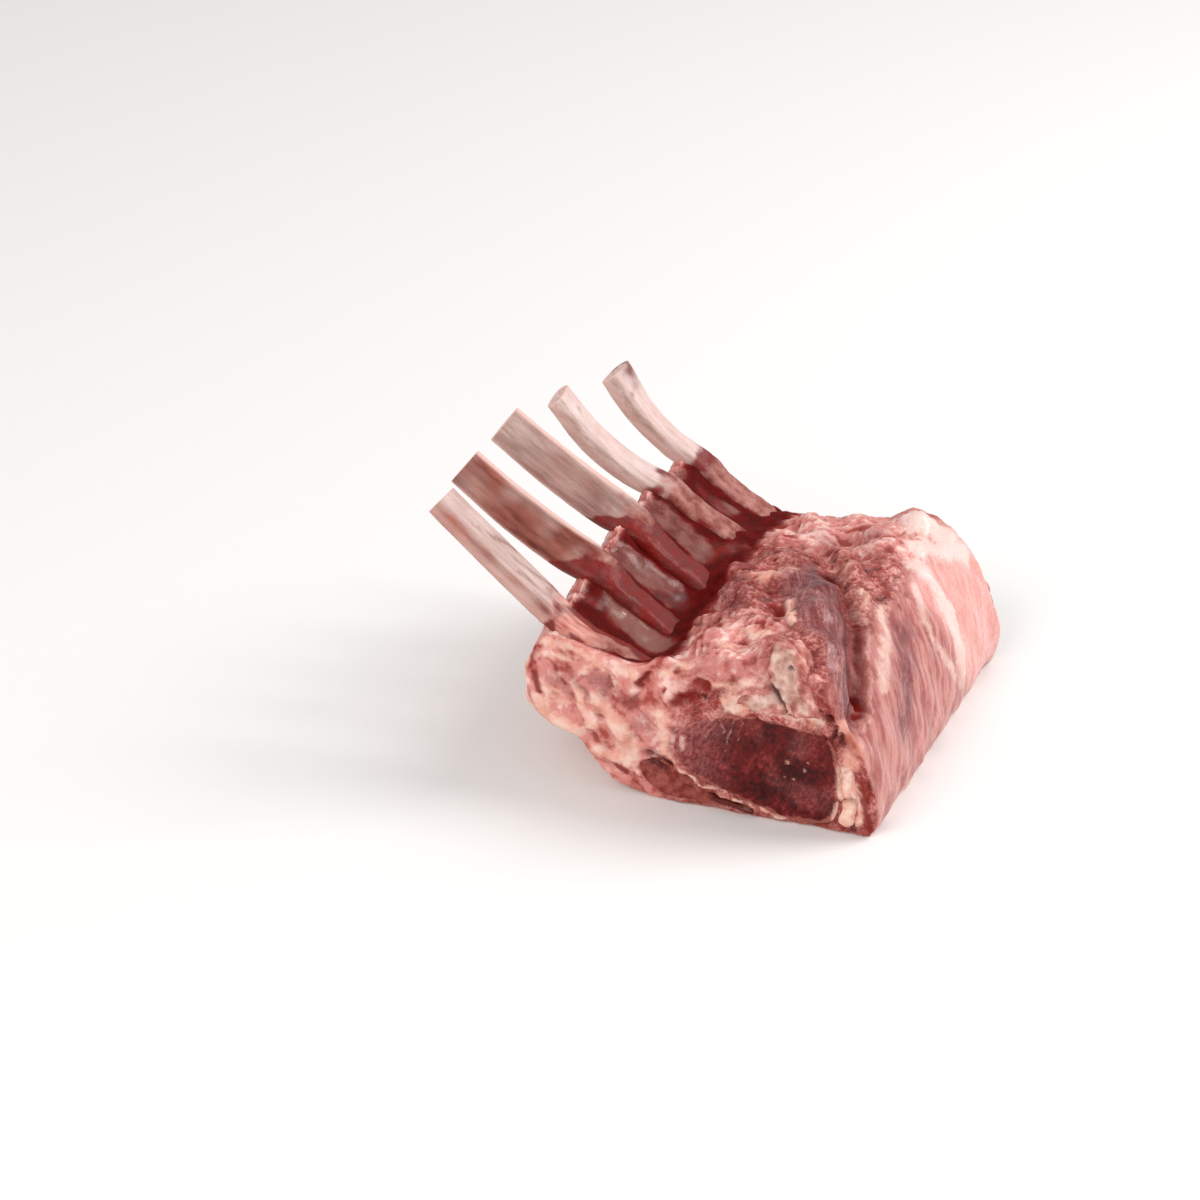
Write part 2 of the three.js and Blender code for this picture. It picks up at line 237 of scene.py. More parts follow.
def outward(points, faces):
    """The outward direction at each point: the sum of its faces' area vectors, made one long. An
    area vector is the cross product of a face's diagonals, or of a triangle's last two sides."""
    total = np.zeros_like(points)
    for group in faces:
        first, second, third, last = (points[group[:, corner]] for corner in (0, 1, 2, -1))
        area = np.cross(third - first, last - second)
        for corner in range(group.shape[1]):
            for axis in range(3):
                total[:, axis] += np.bincount(group[:, corner], area[:, axis], len(points))
    return total / np.maximum(np.linalg.norm(total, axis=1), 1e-12)[:, None]


def noise(points, size, seed):
    """Smooth uneven heights from about -1 to 1. Space is cut into cubes of the given size, each
    corner has a random slope, and the eight slopes' heights are blended by a smooth quintic."""
    random = np.random.default_rng(seed)
    order = random.permutation(256)
    slopes = random.normal(size=(256, 3))
    slopes /= np.linalg.norm(slopes, axis=1)[:, None]
    scaled = points / size + 1000.0
    cube = np.floor(scaled).astype(int)
    inside = scaled - cube
    blend = inside**3 * (inside * (inside * 6 - 15) + 10)
    total = np.zeros(len(points))
    for corner in np.ndindex(2, 2, 2):
        at = (cube + corner) & 255
        key = order[(order[(order[at[:, 0]] + at[:, 1]) & 255] + at[:, 2]) & 255]
        height = ((inside - corner) * slopes[key]).sum(1)
        total += height * np.where(corner, blend, 1 - blend).prod(1)
    return 1.7 * total


def fibres(points, along, length, width, seed):
    """Noise drawn out along one direction: the distance along it is divided by length, and the
    distances across it by width."""
    along = np.array(along) / np.linalg.norm(along)
    forward = points @ along
    across = points - forward[:, None] * along
    return noise(across + (forward * width / length)[:, None] * along, width, seed)


def crests(points, size, seed):
    """Sharp-topped shreds: 1 where the noise crosses zero, falling by twice its size either way."""
    return 1 - 2 * np.abs(noise(points, size, seed))


def warped(points, seed):
    """Points pushed about by uneven amounts, so that a mark drawn there has a natural border."""
    pushes = [1.3 * noise(points, 6.0, seed + axis) + 0.7 * noise(points, 2.4, seed + 3 + axis)
              + 0.3 * noise(points, 1.1, seed + 6 + axis) for axis in range(3)]
    return points + np.stack(pushes, -1)


def near_line(points, line, reach):
    """How near each point is to a broken line: the bell of its distance to the nearest stretch."""
    line = np.array(line, float)
    nearest = np.full(len(points), np.inf)
    for start, end in zip(line, line[1:] if len(line) > 1 else line):
        side = end - start
        share = np.clip((points - start) @ side / max(side @ side, 1e-9), 0, 1)
        nearest = np.minimum(nearest, np.linalg.norm(points - start - share[:, None] * side, axis=1))
    return bump(nearest, reach)


def marks(points, rows):
    """The strongest of several marks at each point. A row is a reach, a strength and a line."""
    strongest = np.zeros(len(points))
    for reach, strength, *line in rows:
        strongest = np.maximum(strongest, strength * near_line(points, line, reach))
    return strongest


def at_front(rows):
    """Marks on the front cut, given by x and z."""
    return [(reach, strength, *((x, -HALF_LENGTH, z) for x, z in line)) for reach, strength, *line in rows]


def loop_of(corners, count):
    """A smooth closed loop of an outline, with the given number of points on each side."""
    return closed_spline(np.array([corners], float), [count] * len(corners))[0]


def inside_loop(x, z, loop):
    """Distance to a closed loop, positive inside it and negative outside."""
    distance = np.full(len(x), np.inf)
    crossings = np.zeros(len(x), int)
    for (ax, az), (bx, bz) in zip(loop, np.roll(loop, -1, 0)):
        dx, dz = bx - ax, bz - az
        share = np.clip(((x - ax) * dx + (z - az) * dz) / (dx * dx + dz * dz), 0, 1)
        distance = np.minimum(distance, np.hypot(x - ax - share * dx, z - az - share * dz))
        spans = (az > z) != (bz > z)
        crossings += spans & (x < ax + (z - az) * dx / (dz if dz else 1e-9))
    return np.where(crossings % 2, distance, -distance)


# The outlines of the pieces that run through the block, as they show at its two cuts
EYE_OUTLINE = [
    (55, 3.2), (57, 12), (56.2, 22), (52, 28.6), (44, 30), (34, 31), (25, 30), (17, 27), (11, 23.5),
    (8.8, 17.5), (11, 12.2), (17, 8.6), (25, 6), (33, 3.6), (40, BASE_SKIN + 0.8), (48, BASE_SKIN + 0.1),
]
SINEW_OUTLINE = [
    (61, 3.2), (62, 9), (61.4, 16), (60, 20.6), (57.8, 19), (57.5, 14), (57.9, 8), (56.8, 3.4), (58.6, 2),
]
UNDER_OUTLINE = [
    (32.5, BASE_SKIN + 0.7), (29, 3.5), (22, 5.2), (14, 8.2), (7, 11.4), (2, 12.6), (-1, 10.6), (0, 6),
    (5, 2.4), (12, BASE_SKIN + 0.2), (22, BASE_SKIN),
]
LUMP_OUTLINE = [
    (50.5, 33.5), (48.5, 41), (46, 48), (42, 53), (37.5, 52.5), (35.5, 46), (34.5, 40), (29, 37.5),
    (26.5, 33.6), (34, 32.8), (42, 32.4),
]
EYE_LOOP, SINEW_LOOP = loop_of(EYE_OUTLINE, 6), loop_of(SINEW_OUTLINE, 4)
UNDER_LOOP, LUMP_LOOP = loop_of(UNDER_OUTLINE, 5), loop_of(LUMP_OUTLINE, 5)

# Marks on the front cut, each a reach, a strength and a line of (x, z)
FRONT_FAT = at_front([
    (1.5, 1, (-20.1, 31.5), (-18.3, 24.5), (-15.3, 19)), (0.9, 0.9, (-29.5, 27.5), (-27, 23)),
    (3, 1, (-13.7, 27), (-9, 22), (-5, 17), (-4, 13)), (2.2, 0.9, (-31.5, 24), (-26.5, 19.5), (-18, 16.5)),
    (2.4, 1, (-13.8, 11.8), (-8, 10.5), (-3.9, 10.5)), (2.4, 0.85, (5, 27), (5.4, 21), (6.9, 15.4)),
    (0.7, 1, (6, 14.5), (15.4, 7.4), (24.1, 4.7), (30.5, 3), (36.4, 2.4), (42, 0.8)),
    (0.7, 0.9, (2.1, 10.1), (8.9, 6.3), (12.2, 5.7)), (0.7, 0.8, (-2.4, 10.5), (-0.9, 6.7)),
    (2.2, 0.8, (27.2, 33), (34, 35.5), (44, 34), (50, 32.5)), (2.8, 1, (25, 33.8), (31, 35.5)),
    (2.2, 0.9, (58.3, 20.2), (57.7, 12.6)), (1.5, 0.85, (62.6, 15.5), (63, 9), (62.4, 4)),
    (1.4, 0.9, (-3.8, 39.4), (-2.2, 35.4)),
    (1.8, 0.75, (-29.3, 43), (-21.2, 41.6), (-12.2, 39.4), (-5, 37.5)), (2.6, 0.6, (-30.5, 30), (-24, 26)),
    (1.6, 0.7, (4.9, 38.2), (11.9, 42.6), (15, 44.6)),
    (0.9, 0.75, (-18.7, 34.5), (-13.5, 38.7), (-9.2, 36.8), (-8, 30.3)),
    (1.1, 0.7, (-33, 36.5), (-27.5, 40), (-20, 38.5)), (1, 0.6, (-24.5, 33.5), (-27.5, 29)),
    (1.5, 0.6, (16, 39), (26, 38), (31, 42)),
])
FRONT_BLOOD = at_front([
    (1.7, 0.9, (-32, 32.5), (-31, 27.5)), (2.2, 0.8, (8.8, 31), (11.7, 32.4), (14.5, 33.2)),
    (1.9, 0.8, (15.2, 38.6), (18.4, 37.2)), (1.3, 0.7, (9.3, 40.6), (10.4, 41.2)), (1.2, 0.7, (17.1, 31.6)),
    (1.4, 0.9, (-1.2, 34.7), (0.2, 37.2)), (1.4, 0.9, (63.9, 17), (64.6, 8.5), (66, 1.2)),
    (0.9, 0.8, (5, 33.5), (5.8, 34.3)), (0.7, 0.7, (4.5, 40.1)), (1.5, 0.5, (-14, 25.5), (-12.5, 22.5)),
    (1.3, 0.8, (-8.5, 7.6), (-4.3, 6.9)), (1.6, 0.7, (-33, 41), (-33.5, 35)),
])
FRONT_MAUVE = at_front([
    (3.6, 0.65, (-13, 33)), (3.4, 0.5, (0.5, 22.5)), (4.5, 0.4, (-25, 31)), (3, 0.35, (-4, 29)),
])
FRONT_SALMON = at_front([(3.2, 1, (58.4, 31.4), (61.5, 26.7), (60.2, 24)), (3, 0.5, (-27, 38))])
FRONT_PITS = at_front([
    (0.9, 1.1, (-21.8, 30.9)), (0.8, 0.9, (-13.9, 15.4)), (0.8, 0.9, (-10.7, 14.4)),
    (1.3, 2, (0.8, 14.2), (4.3, 12.9), (7.4, 10.9)),
    (0.6, 1.3, (10.5, 23), (8.6, 21.5), (8, 18), (9.3, 14.4)), (1.2, 3, (53.2, 33.8)),
    (0.8, 2.6, (54.2, 26), (55.2, 31.5)), (0.7, 2.2, (57, 26.5), (57.4, 30)),
    (0.7, 1.2, (-22.7, 35.5), (-16.9, 28), (-12.6, 21.8)), (0.8, 1, (-10.3, 35), (-10, 31), (-12, 29)),
    (0.7, 1, (5, 33.5), (5.8, 34.3)), (1, 1.4, (-1.2, 34.7), (0.2, 37.2)),
    (1.1, 0.9, (9, 31), (14.5, 33.2)), (0.9, 0.8, (15.2, 38.6), (18.4, 37.2)),
])

# The silverskin strip with the groove beside it, and the ways that its strands, the sawn side's
# and those at the side's foot run
STRIP_LINE = [
    (19.3, 27, 42.1), (27.4, 1.7, 46), (36, -12, 47.2), (46.7, -32.5, 44.2), (54.5, -47, 37.2),
    (58.2, -54.5, 30.9),
]
GROOVE_LINE = [
    (31, 4.1, 45.4), (38, -5, 46), (43.8, -12.2, 44.9), (50.1, -23.5, 40.8), (54.3, -36, 34.4),
    (57.2, -43, 31.4),
]
STRIP_FOOT_X = 58
STRIP_SHIFT = 39
STRIP_REACH = 87
STRIP_BEND = 1.35
STRIP_WAY = (0.42, -0.85, -0.25)
SIDE_WAY = (0.36, -0.45, -0.82)
FOOT_WAY = (0.10, -0.95, -0.30)

# Marks on the ridge, the sawn side and the hollow, each a reach, a strength and a line of (x, y, z)
TOP_FAT = [
    (3, 0.5, (44.3, -5, 46.4), (48.6, -17.1, 43.2)),
    (3.2, 0.75, (50.5, -4, 41), (54, -11.5, 37.5), (57.4, -23, 33.8), (59.4, -30, 31.2)),
    (3.4, 0.9, (50.5, 28, 41), (58, 27.5, 33.1), (64, 24, 20.5), (66.9, 19.5, 10.4)),
    (2.8, 0.7, (53.5, 18, 38.2), (58.5, 10, 30.9), (62.7, 11.2, 23.7), (66.1, 15.3, 14.8)),
    (6.5, 0.95, (44.5, 49.2, 45.2), (52.4, 52.9, 38.8)), (4.5, 0.9, (48.7, 35.9, 43), (56.6, 54, 34.1)),
    (1.5, 0.8, (14.1, -35.1, 45.2), (22.4, -41.7, 46.8), (30.2, -44.1, 48.3)),
    (1.4, 0.8, (28.1, -53.9, 48.1), (19.5, -52.2, 47.5)),
    (1.7, 1, (28.4, -22.4, 46.9), (31.4, -29.5, 47.4), (34.3, -35.7, 49.2)), (2, 0.8, (41.1, -52.8, 51.7)),
    (2.4, 0.6, (20, 41, 41.3)), (2, 0.6, (36, 20, 46)),
    (0.5, 0.8, (-16.1, -32.2, 41.4), (-12.3, -33.4, 39.1), (-9.1, -35.1, 37), (-6.1, -40.9, 35.5)),
]
TOP_BLOOD = [
    (3.6, 1, (-16.5, -21.7, 38.4), (-9.9, -13, 38.6), (-2.3, -8, 37.6), (3, -14, 39)),
    (2.8, 1, (-24.3, -47.3, 43), (-20.6, -46.5, 41.5), (-12.3, -49, 36.9), (-2, -53, 37), (5, -55, 40.5)),
    (1.9, 1, (57.2, -41.6, 31.4), (57.7, -48.6, 29.6)), (2.2, 1, (26.8, -25, 45.5), (24.2, -24.5, 46.3)),
    (1.8, 0.9, (53.4, 3.1, 38.9)), (1.4, 0.8, (31.5, 7.8, 44.1)), (1.8, 0.8, (8.7, 4.6, 43.7)),
    (2.4, 0.6, (-1.3, 19.6, 41.1), (8.7, 18.4, 43)),
]
TOP_MAUVE = [
    (4.5, 0.8, (56.7, -2.6, 34.1), (61.2, -16.2, 26.4), (64, -30, 18)),
    (6, 0.45, (4, -8, 42), (13, -25, 45.5)), (5, 0.5, (24, 30, 43), (34, 36, 44)),
]
TOP_SALMON = [
    (6, 0.35, (57.6, 44.3, 33.2), (64.7, 38.2, 21.7), (66.8, 37.4, 12.2)),
    (4.5, 0.9, (15, -4, 45), (21, 3, 45.2)), (3, 0.8, (1.1, 49.3, 38), (6, 52.1, 37.5)),
    (3, 0.7, (34, 12, 46), (38, 6, 46.5)),
]
TOP_PITS = [
    (1.9, 3, (57.2, -41.6, 31.4), (57.9, -49, 29.6)), (1.8, 2.8, (26.8, -25, 45.5)),
    (1.5, 2.4, (31, 8, 44.1)), (1.2, 2, (52.7, 12.6, 39)), (0.9, 1.4, (44, 18.7, 45.8), (46, 16.5, 45.5)),
    (2.2, 1.6, (34.3, -44, 48.9)), (0.9, 1.6, (12, -6, 45), (16.5, -9, 45.2), (21, -9, 45.8)),
]
TOP_TUFTS = [
    (1.5, 1.4, (28.4, -22.4, 46.9), (31.4, -29.5, 47.4), (34.3, -35.7, 49.2)),
    (1.6, 1, (14.1, -35.1, 45.2), (22.4, -41.7, 46.8), (30.2, -44.1, 48.3)),
    (3.2, 1.3, (15, -3.5, 45), (21, -3, 45.5)), (2, 0.9, (50.5, -4, 41), (57.4, -23, 33.8)),
    (1.8, 0.8, (51.7, 27, 40.6), (58, 27.8, 33.1), (64, 28.5, 20.5), (66.9, 19.5, 10.4)),
]
HOLLOW_WINDOWS = [
    (5.6, 1, (-18.5, -32, 42), (-9, -34.5, 37), (-4, -36.5, 36)),
    (3.5, 0.7, (-19, -12, 44), (-13, -10, 39)), (3.8, 0.8, (-14, 14, 42), (-9, 12, 40.5)),
    (3.2, 0.6, (-20, 40, 47), (-12, 38, 42)),
]


def strip_x(y):
    """Where the strip of silverskin lies across the rack, as a power of the way from the front."""
    return STRIP_FOOT_X - STRIP_SHIFT * np.clip((y + HALF_LENGTH) / STRIP_REACH, 0, None) ** STRIP_BEND


def block_form(points, normals):
    """The block's larger relief, in millimetres outward: crossing waves on the torn ridge, the
    strip of silverskin, dips between the ribs, long waves on the sawn side."""
    x, y, z = points.T
    on_ridge = ramp(x, -2, 6) * fall(x, 48, 56) * ramp(z, 36, 41)
    torn = (0.9 * np.sin(0.36 * x + 0.21 * y) + 0.8 * np.sin(0.24 * x - 0.33 * y + 1.7)
            + 0.6 * np.sin(0.41 * y + 0.12 * x + 0.6))
    from_strip = x - strip_x(y)
    sinew = 1.6 * bump(from_strip + 6, 5) - 2.6 * bump(from_strip - 2.2, 3)
    sinew_part = ramp(y, -60, -54) * fall(y, 22, 34) * ramp(z, 25, 32)
    between = 1 - bump(y - nearest_rib_y(y), 7.5)
    in_hollow = np.clip(normals[:, 2], 0, None) * fall(x, 0, 6) * ramp(x, -22, -17)
    on_lip = bump(x - LIP_X, 6) * ramp(z, 38, 43)
    on_side = ramp(x, 52, 57) * ramp(z, 2, 8) * fall(z, 34, 40)
    streak = np.sin(0.42 * (y + 0.55 * z) + 0.8 * np.sin(0.11 * y))
    on_left = fall(x, -22, -14) * fall(z, 34, 40)
    creases = np.sin(0.55 * z + 0.13 * y) * np.sin(0.17 * y + 0.9)
    return (on_ridge * torn * (1 - 0.6 * sinew_part * bump(from_strip, 7)) + sinew_part * sinew
            - 1.3 * in_hollow * between - 2.4 * on_lip * between + 0.3 * on_side * streak
            + 1.1 * on_left * creases)


def block_regions(points, normals):
    """Where each kind of surface lies, from 0 to 1: cut ends, inside of the rib cage, silverskin,
    sawn side, torn ridge, lip, outer fat."""
    x, y, z = points.T
    cut = ramp(np.abs(normals[:, 1]), 0.45, 0.85)
    around = 1 - cut
    facing = ramp(normals[:, 2] + 0.6 * normals[:, 0], 0.1, 0.5)
    hollow = around * ramp(y, -57.5, -55.5) * fall(x, 0, 7) * ramp(x, -28, -24) * facing
    strip_width = 6.0 + 6.0 * bump(y + 32, 24)
    strip = around * ramp(near_line(points + (4.0, 0, 0), STRIP_LINE, strip_width), 0.3, 0.75)
    strip = strip * fall(x - strip_x(y), 1.0, 4.5) * fall(y, 0, 18)
    side = around * ramp(x, 46, 54) * fall(z, 38, 45) * (1 - 0.8 * strip)
    ridge = around * ramp(x, -6, 4) * ramp(z, 30, 36) * (1 - side) * (1 - strip)
    lip = around * bump(x - LIP_X + 2, 4.5) * ramp(z, 40, 44)
    outer = around * np.clip(fall(x, -30, -20) * fall(z, 38, 46) + fall(normals[:, 2], -0.6, -0.1), 0, 1)
    return {"cut": cut, "hollow": hollow, "strip": strip, "side": side, "ridge": ridge, "lip": lip,
            "outer": outer}


def block_detail(points, regions):
    """The finer relief of each region, in millimetres outward: shreds and clefts on the ridge,
    strands on the silverskin and the side, wrinkled film in the hollow, pillows of fat and muscle
    at the cuts. It dies away in the groove."""
    x, y, z = points.T
    torn = warped(points, 21)
    drawn = torn * (1.0, 0.5, 1.0)
    clefts = bump(noise(points, 6.5, 1), 0.11) * ramp(noise(points, 11, 2), -0.4, 0.3)
    small_clefts = bump(noise(torn, 3.0, 3), 0.12)
    along_foot = fall(y, -20, 0) * fall(z, 10, 20)
    coarse = ramp(x, -4, 12)
    details = {
        "ridge": 0.4 * noise(points, 5.5, 4) + 0.45 * crests(drawn, 3.2, 5) + 0.3 * crests(drawn, 1.6, 6)
        + 0.2 * noise(points, 1.1, 27) - 0.7 * clefts - 0.4 * small_clefts - 0.2,
        "strip": 0.5 * fibres(points, STRIP_WAY, 26, 2.6, 7) + 0.3 * fibres(points, STRIP_WAY, 16, 1.2, 8),
        "side": 0.4 * fibres(points, SIDE_WAY, 46, 7.0, 9) + 0.1 * fibres(points, SIDE_WAY, 22, 1.7, 10)
        + 0.16 * noise(points, 3.0, 28) + 0.12 * noise(points, 1.4, 11)
        + 0.12 * along_foot * fibres(points, FOOT_WAY, 30, 2.4, 29),
        "hollow": 0.25 * noise(points, 4.0, 12) + 0.12 * fibres(points, (0, 1, 0.2), 12, 1.6, 13),
        "cut": 0.85 * noise(points, 6.5, 14) + mix(0.12, 0.3, coarse) * crests(torn, 3.4, 15)
        + mix(0.1, 0.2, coarse) * noise(points, 1.5, 16) - 0.5 * bump(noise(points, 8.5, 17), 0.08) - 0.1,
        "outer": 0.6 * noise(points, 9, 18) + 0.22 * noise(points, 3, 19)
        - 0.5 * bump(noise(points, 12, 20), 0.06),
        "lip": 0.9 * noise(points, 4.0, 24) + 0.8 * crests(torn, 2.4, 25) - 0.2,
    }
    total = sum(regions[name] * detail for name, detail in details.items())
    return total * (1 - 0.8 * near_line(points, GROOVE_LINE, 2.0))


def pocket_depth(points, warped_points):
    """How far the cut faces are sunk under the pieces that run through the block. The flesh laps
    unevenly over their borders."""
    x, _, z = mix(points, warped_points, 0.6).T
    at_cut = ramp(np.abs(points[:, 1]), HALF_LENGTH - 3, HALF_LENGTH - 1)
    at_front_cut = at_cut * (points[:, 1] < 0)
    depth = np.zeros(len(points))
    for loop in (EYE_LOOP, SINEW_LOOP, UNDER_LOOP, LUMP_LOOP):
        sunk_here = at_front_cut if loop is LUMP_LOOP else at_cut
        depth = np.maximum(depth, sunk_here * ramp(inside_loop(x, z, loop), 0.1, 1.5))
    return POCKET_DEPTH * depth


ring_places = np.linspace(-HALF_LENGTH + CUT_ROUNDING, HALF_LENGTH - CUT_ROUNDING, BLOCK_RINGS)
block_points, block_faces = skin(cut_rings(block_outline, ring_places, CUT_MIDDLE, CUT_STEPS, CUT_ROUNDING))
block_x, block_y, block_z = block_points.T
block_normals = outward(block_points, block_faces)
regions = block_regions(block_points, block_normals)
detail = block_detail(block_points, regions)

# Both cuts carry the front's marks, the back's a little shifted
wobbled = warped(block_points, 30)
wobbled_cut = np.where(wobbled[:, 1:2] > 0, wobbled * (1, -1, 1) + (0.8, 0, 0.6), wobbled)
fat, blood, mauve, salmon, pits = (
    np.maximum(marks(wobbled_cut, front), marks(wobbled, top)) for front, top in (
        (FRONT_FAT, TOP_FAT), (FRONT_BLOOD, TOP_BLOOD), (FRONT_MAUVE, TOP_MAUVE), (FRONT_SALMON, TOP_SALMON),
        (FRONT_PITS, TOP_PITS),
    ))
tufts = marks(wobbled, TOP_TUFTS)
groove = near_line(mix(block_points, wobbled, 0.2), GROOVE_LINE, 1.9)
pits = pits + 2.2 * groove

relief = ((1 - regions["cut"]) * block_form(block_points, block_normals) + detail * (1 - 0.4 * fat)
          + 0.7 * fat * (regions["cut"] + 0.5 * regions["side"]) + tufts - pits
          - pocket_depth(block_points, wobbled))
on_table = block_z < 0.02
shown_points = block_points + relief[:, None] * block_normals
shown_points[on_table, :2] = block_points[on_table, :2]
shown_points[on_table, 2] = 0.5 * noise(block_points[on_table], 6, 50)
shown_points[:, 2] = np.clip(shown_points[:, 2], 0, None)
shown_points[:, 1] = np.clip(shown_points[:, 1], -HALF_LENGTH - MOST_PROUD, HALF_LENGTH + MOST_PROUD)

# In the hollow, film lies in patches with clear windows, and blood has run between them;
# the depth mask paints that blood darker still, as painted shade
beside_rib = bump(np.abs(wobbled[:, 1] - nearest_rib_y(block_y)) - RIB_THICKNESS, 2.2)
under_ridge = ramp(wobbled[:, 0], -11, -5)
first_bay = bump(wobbled[:, 1] - rib_y(0) - 8.0, 3.2)
bloody = np.maximum(np.maximum(beside_rib, under_ridge), 1.6 * first_bay)
patchy_film = ramp(noise(block_points, 13, 51) + 0.45 - 0.9 * bloody, -0.25, 0.35)
window = np.clip(1.3 * marks(wobbled, HOLLOW_WINDOWS) * regions["hollow"], 0, 1)
hollow_blood_and_shade = regions["hollow"] * (1 - patchy_film) * (1 - window)

# Pale flesh lies left of the eye and over it, on the ridge's ends and on the lip
over_eye = 0.75 * ramp(block_z, 35, 41) * fall(block_x, 30, 40)
pale_ridge = 0.9 * ramp(block_y, 14, 34) + fall(block_y, -44, -26) * fall(block_x, 28, 38)
pale = (regions["cut"] * np.maximum(fall(block_x, -2, 16), over_eye) * ramp(block_z, 6, 14)
        + regions["ridge"] * pale_ridge + 0.8 * regions["lip"]
        + fall(block_y, -57.5, -55.5) * fall(block_x, 4, 12))
sunk = np.minimum(detail + 0.25, 0) * (regions["ridge"] + 0.6 * regions["cut"])
block_masks = {
    "fat": fat + 0.85 * regions["outer"] * ramp(noise(block_points, 14, 52), -0.75, -0.1),
    "blood": blood + 1.7 * hollow_blood_and_shade,
    "film": (0.75 + 0.25 * near_line(wobbled, GROOVE_LINE, 9.0)) * regions["strip"]
    + 0.9 * regions["hollow"] * patchy_film + mauve,
    "salmon": salmon,
    "window": window,
    # Depth is painted shade: dark in pits, the groove, low relief and the hollow's bloody patches
    "depth": 0.4 * pits + 0.5 * groove - 0.45 * sunk + 1.2 * hollow_blood_and_shade,
    # Tone follows the relief: painted highlight on proud flesh, painted shade where it sinks
    "tone": 0.48 + mix(0.5, 0.36, regions["cut"]) * detail + 0.25 * tufts
    # The strip darkens by the groove: partly its mauve-grey colour, partly painted shade
    + regions["strip"] * (0.12 - 0.6 * near_line(wobbled, GROOVE_LINE, 7.5)),
    "pale": pale,
    # Back is painted light: it pales the side and its fat towards the back of the rack
    "back": ramp(block_y + 0.35 * block_z, 22, 34) * (1 - regions["outer"]) * (1 - regions["cut"]),
    "side": regions["side"],
    "hollow": regions["hollow"],
}


def make_piece(name, points, faces, masks, material, slot, *nodes):
    """Puts a skin worked out in millimetres into a mesh in metres, with its masks, held between 0
    and 1, as attributes, hangs it on the root body and hides the solids that it stands for."""
    mesh = bpy.data.meshes.new(name)
    mesh.from_pydata((points * MM).tolist(), [], [face for group in faces for face in group.tolist()])
    mesh.polygons.foreach_set("use_smooth", np.ones(len(mesh.polygons), bool))
    for mask, values in masks.items():
        values = np.clip(values, 0, 1).astype(np.float32)
        mesh.attributes.new(mask, "FLOAT", "POINT").data.foreach_set("value", values)
    mesh.materials.append(material)
    piece = bpy.data.objects.new(name, mesh)
    bpy.context.scene.collection.objects.link(piece)
    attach(piece, "root")
    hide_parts(*nodes)


def colour(code):
    """A hex colour as linear red, green, blue and alpha."""
    shares = np.array([int(code[i:i + 2], 16) for i in (1, 3, 5)]) / 255
    linear = np.where(shares <= 0.04045, shares / 12.92, ((shares + 0.055) / 1.055) ** 2.4)
    return (*linear, 1.0)


class Paint:
    """The nodes of one material or shader group. Each call adds nodes and gives their output. A
    share is a number, an output or the name of a mask, and a colour is an output or a hex code."""

    def __init__(self, tree):
        self.tree = tree

    def fill(self, node, sockets):
        """Gives a node's inputs their values, or links them to other nodes' outputs."""
        for key, value in dict(sockets).items():
            if isinstance(value, bpy.types.NodeSocket):
                self.tree.links.new(value, node.inputs[key])
            else:
                node.inputs[key].default_value = value

    def add(self, kind, sockets=(), **settings):
        node = self.tree.nodes.new(kind)
        for key, value in settings.items():
            setattr(node, key, value)
        self.fill(node, sockets)
        return node.outputs

    def mask(self, name):
        return self.add("ShaderNodeAttribute", attribute_name=name)["Fac"]

    def maths(self, operation, *values):
        values = [self.mask(value) if isinstance(value, str) else value for value in values]
        return self.add("ShaderNodeMath", dict(enumerate(values)), operation=operation)[0]

    def spread(self, value, low, high, to_low=0.0, to_high=1.0):
        """A value spread smoothly from one range over another."""
        return self.add("ShaderNodeMapRange", {
            "Value": value, "From Min": low, "From Max": high, "To Min": to_low, "To Max": to_high,
        }, interpolation_type="SMOOTHSTEP")[0]

    def over(self, first, share, second, strength=1.0):
        """The first colour turned into the second by a share times a strength."""
        share = self.maths("MULTIPLY", share, strength)
        first, second = (colour(part) if isinstance(part, str) else part for part in (first, second))
        return self.add("ShaderNodeMix", {0: share, 6: first, 7: second}, data_type="RGBA")[2]

    def toned(self, tone, first, *steps):
        """A colour that turns into the next as the tone rises. A step is a low, a high, a colour."""
        for low, high, second in steps:
            first = self.over(first, self.spread(tone, low, high), second)
        return first

    def grain(self, scale, steps, roughness, along=(1, 0, 0), stretch=1.0):
        """Noise over the object in millimetres, drawn out so many times along a direction."""
        x, y, z = np.array(along) / np.linalg.norm(along)
        spot = self.add("ShaderNodeMapping", {
            "Vector": self.add("ShaderNodeTexCoord")["Object"],
            "Rotation": (0, -np.arcsin(z), np.arctan2(y, x)), "Scale": (stretch * MM, MM, MM),
        }, vector_type="TEXTURE")[0]
        return self.add("ShaderNodeTexNoise", {
            "Vector": spot, "Scale": scale, "Detail": steps, "Roughness": roughness,
        })["Fac"]


def new_group(name, inputs, outputs):
    """An empty shader node group with number inputs, each with its usual value, and outputs."""
    tree = bpy.data.node_groups.new(name, "ShaderNodeTree")
    for key, value in inputs.items():
        tree.interface.new_socket(key, in_out="INPUT", socket_type="NodeSocketFloat").default_value = value
    for key in outputs:
        tree.interface.new_socket(key, in_out="OUTPUT", socket_type="NodeSocketFloat")
    return Paint(tree), tree.nodes.new("NodeGroupInput").outputs, tree.nodes.new("NodeGroupOutput")


# Torn edge: a soft mask made into a patch with an uneven, fairly sharp border
torn_edge, given, result = new_group("torn_edge", {"Mask": 0.0, "Size": 0.8, "Amount": 0.5}, ["Mask"])
uneven = torn_edge.maths("SUBTRACT", torn_edge.grain(given["Size"], 4.0, 0.6), 0.5)
uneven = torn_edge.maths("MULTIPLY_ADD", uneven, given["Amount"], given["Mask"])
torn_edge.fill(result, {"Mask": torn_edge.spread(uneven, 0.15, 0.75)})

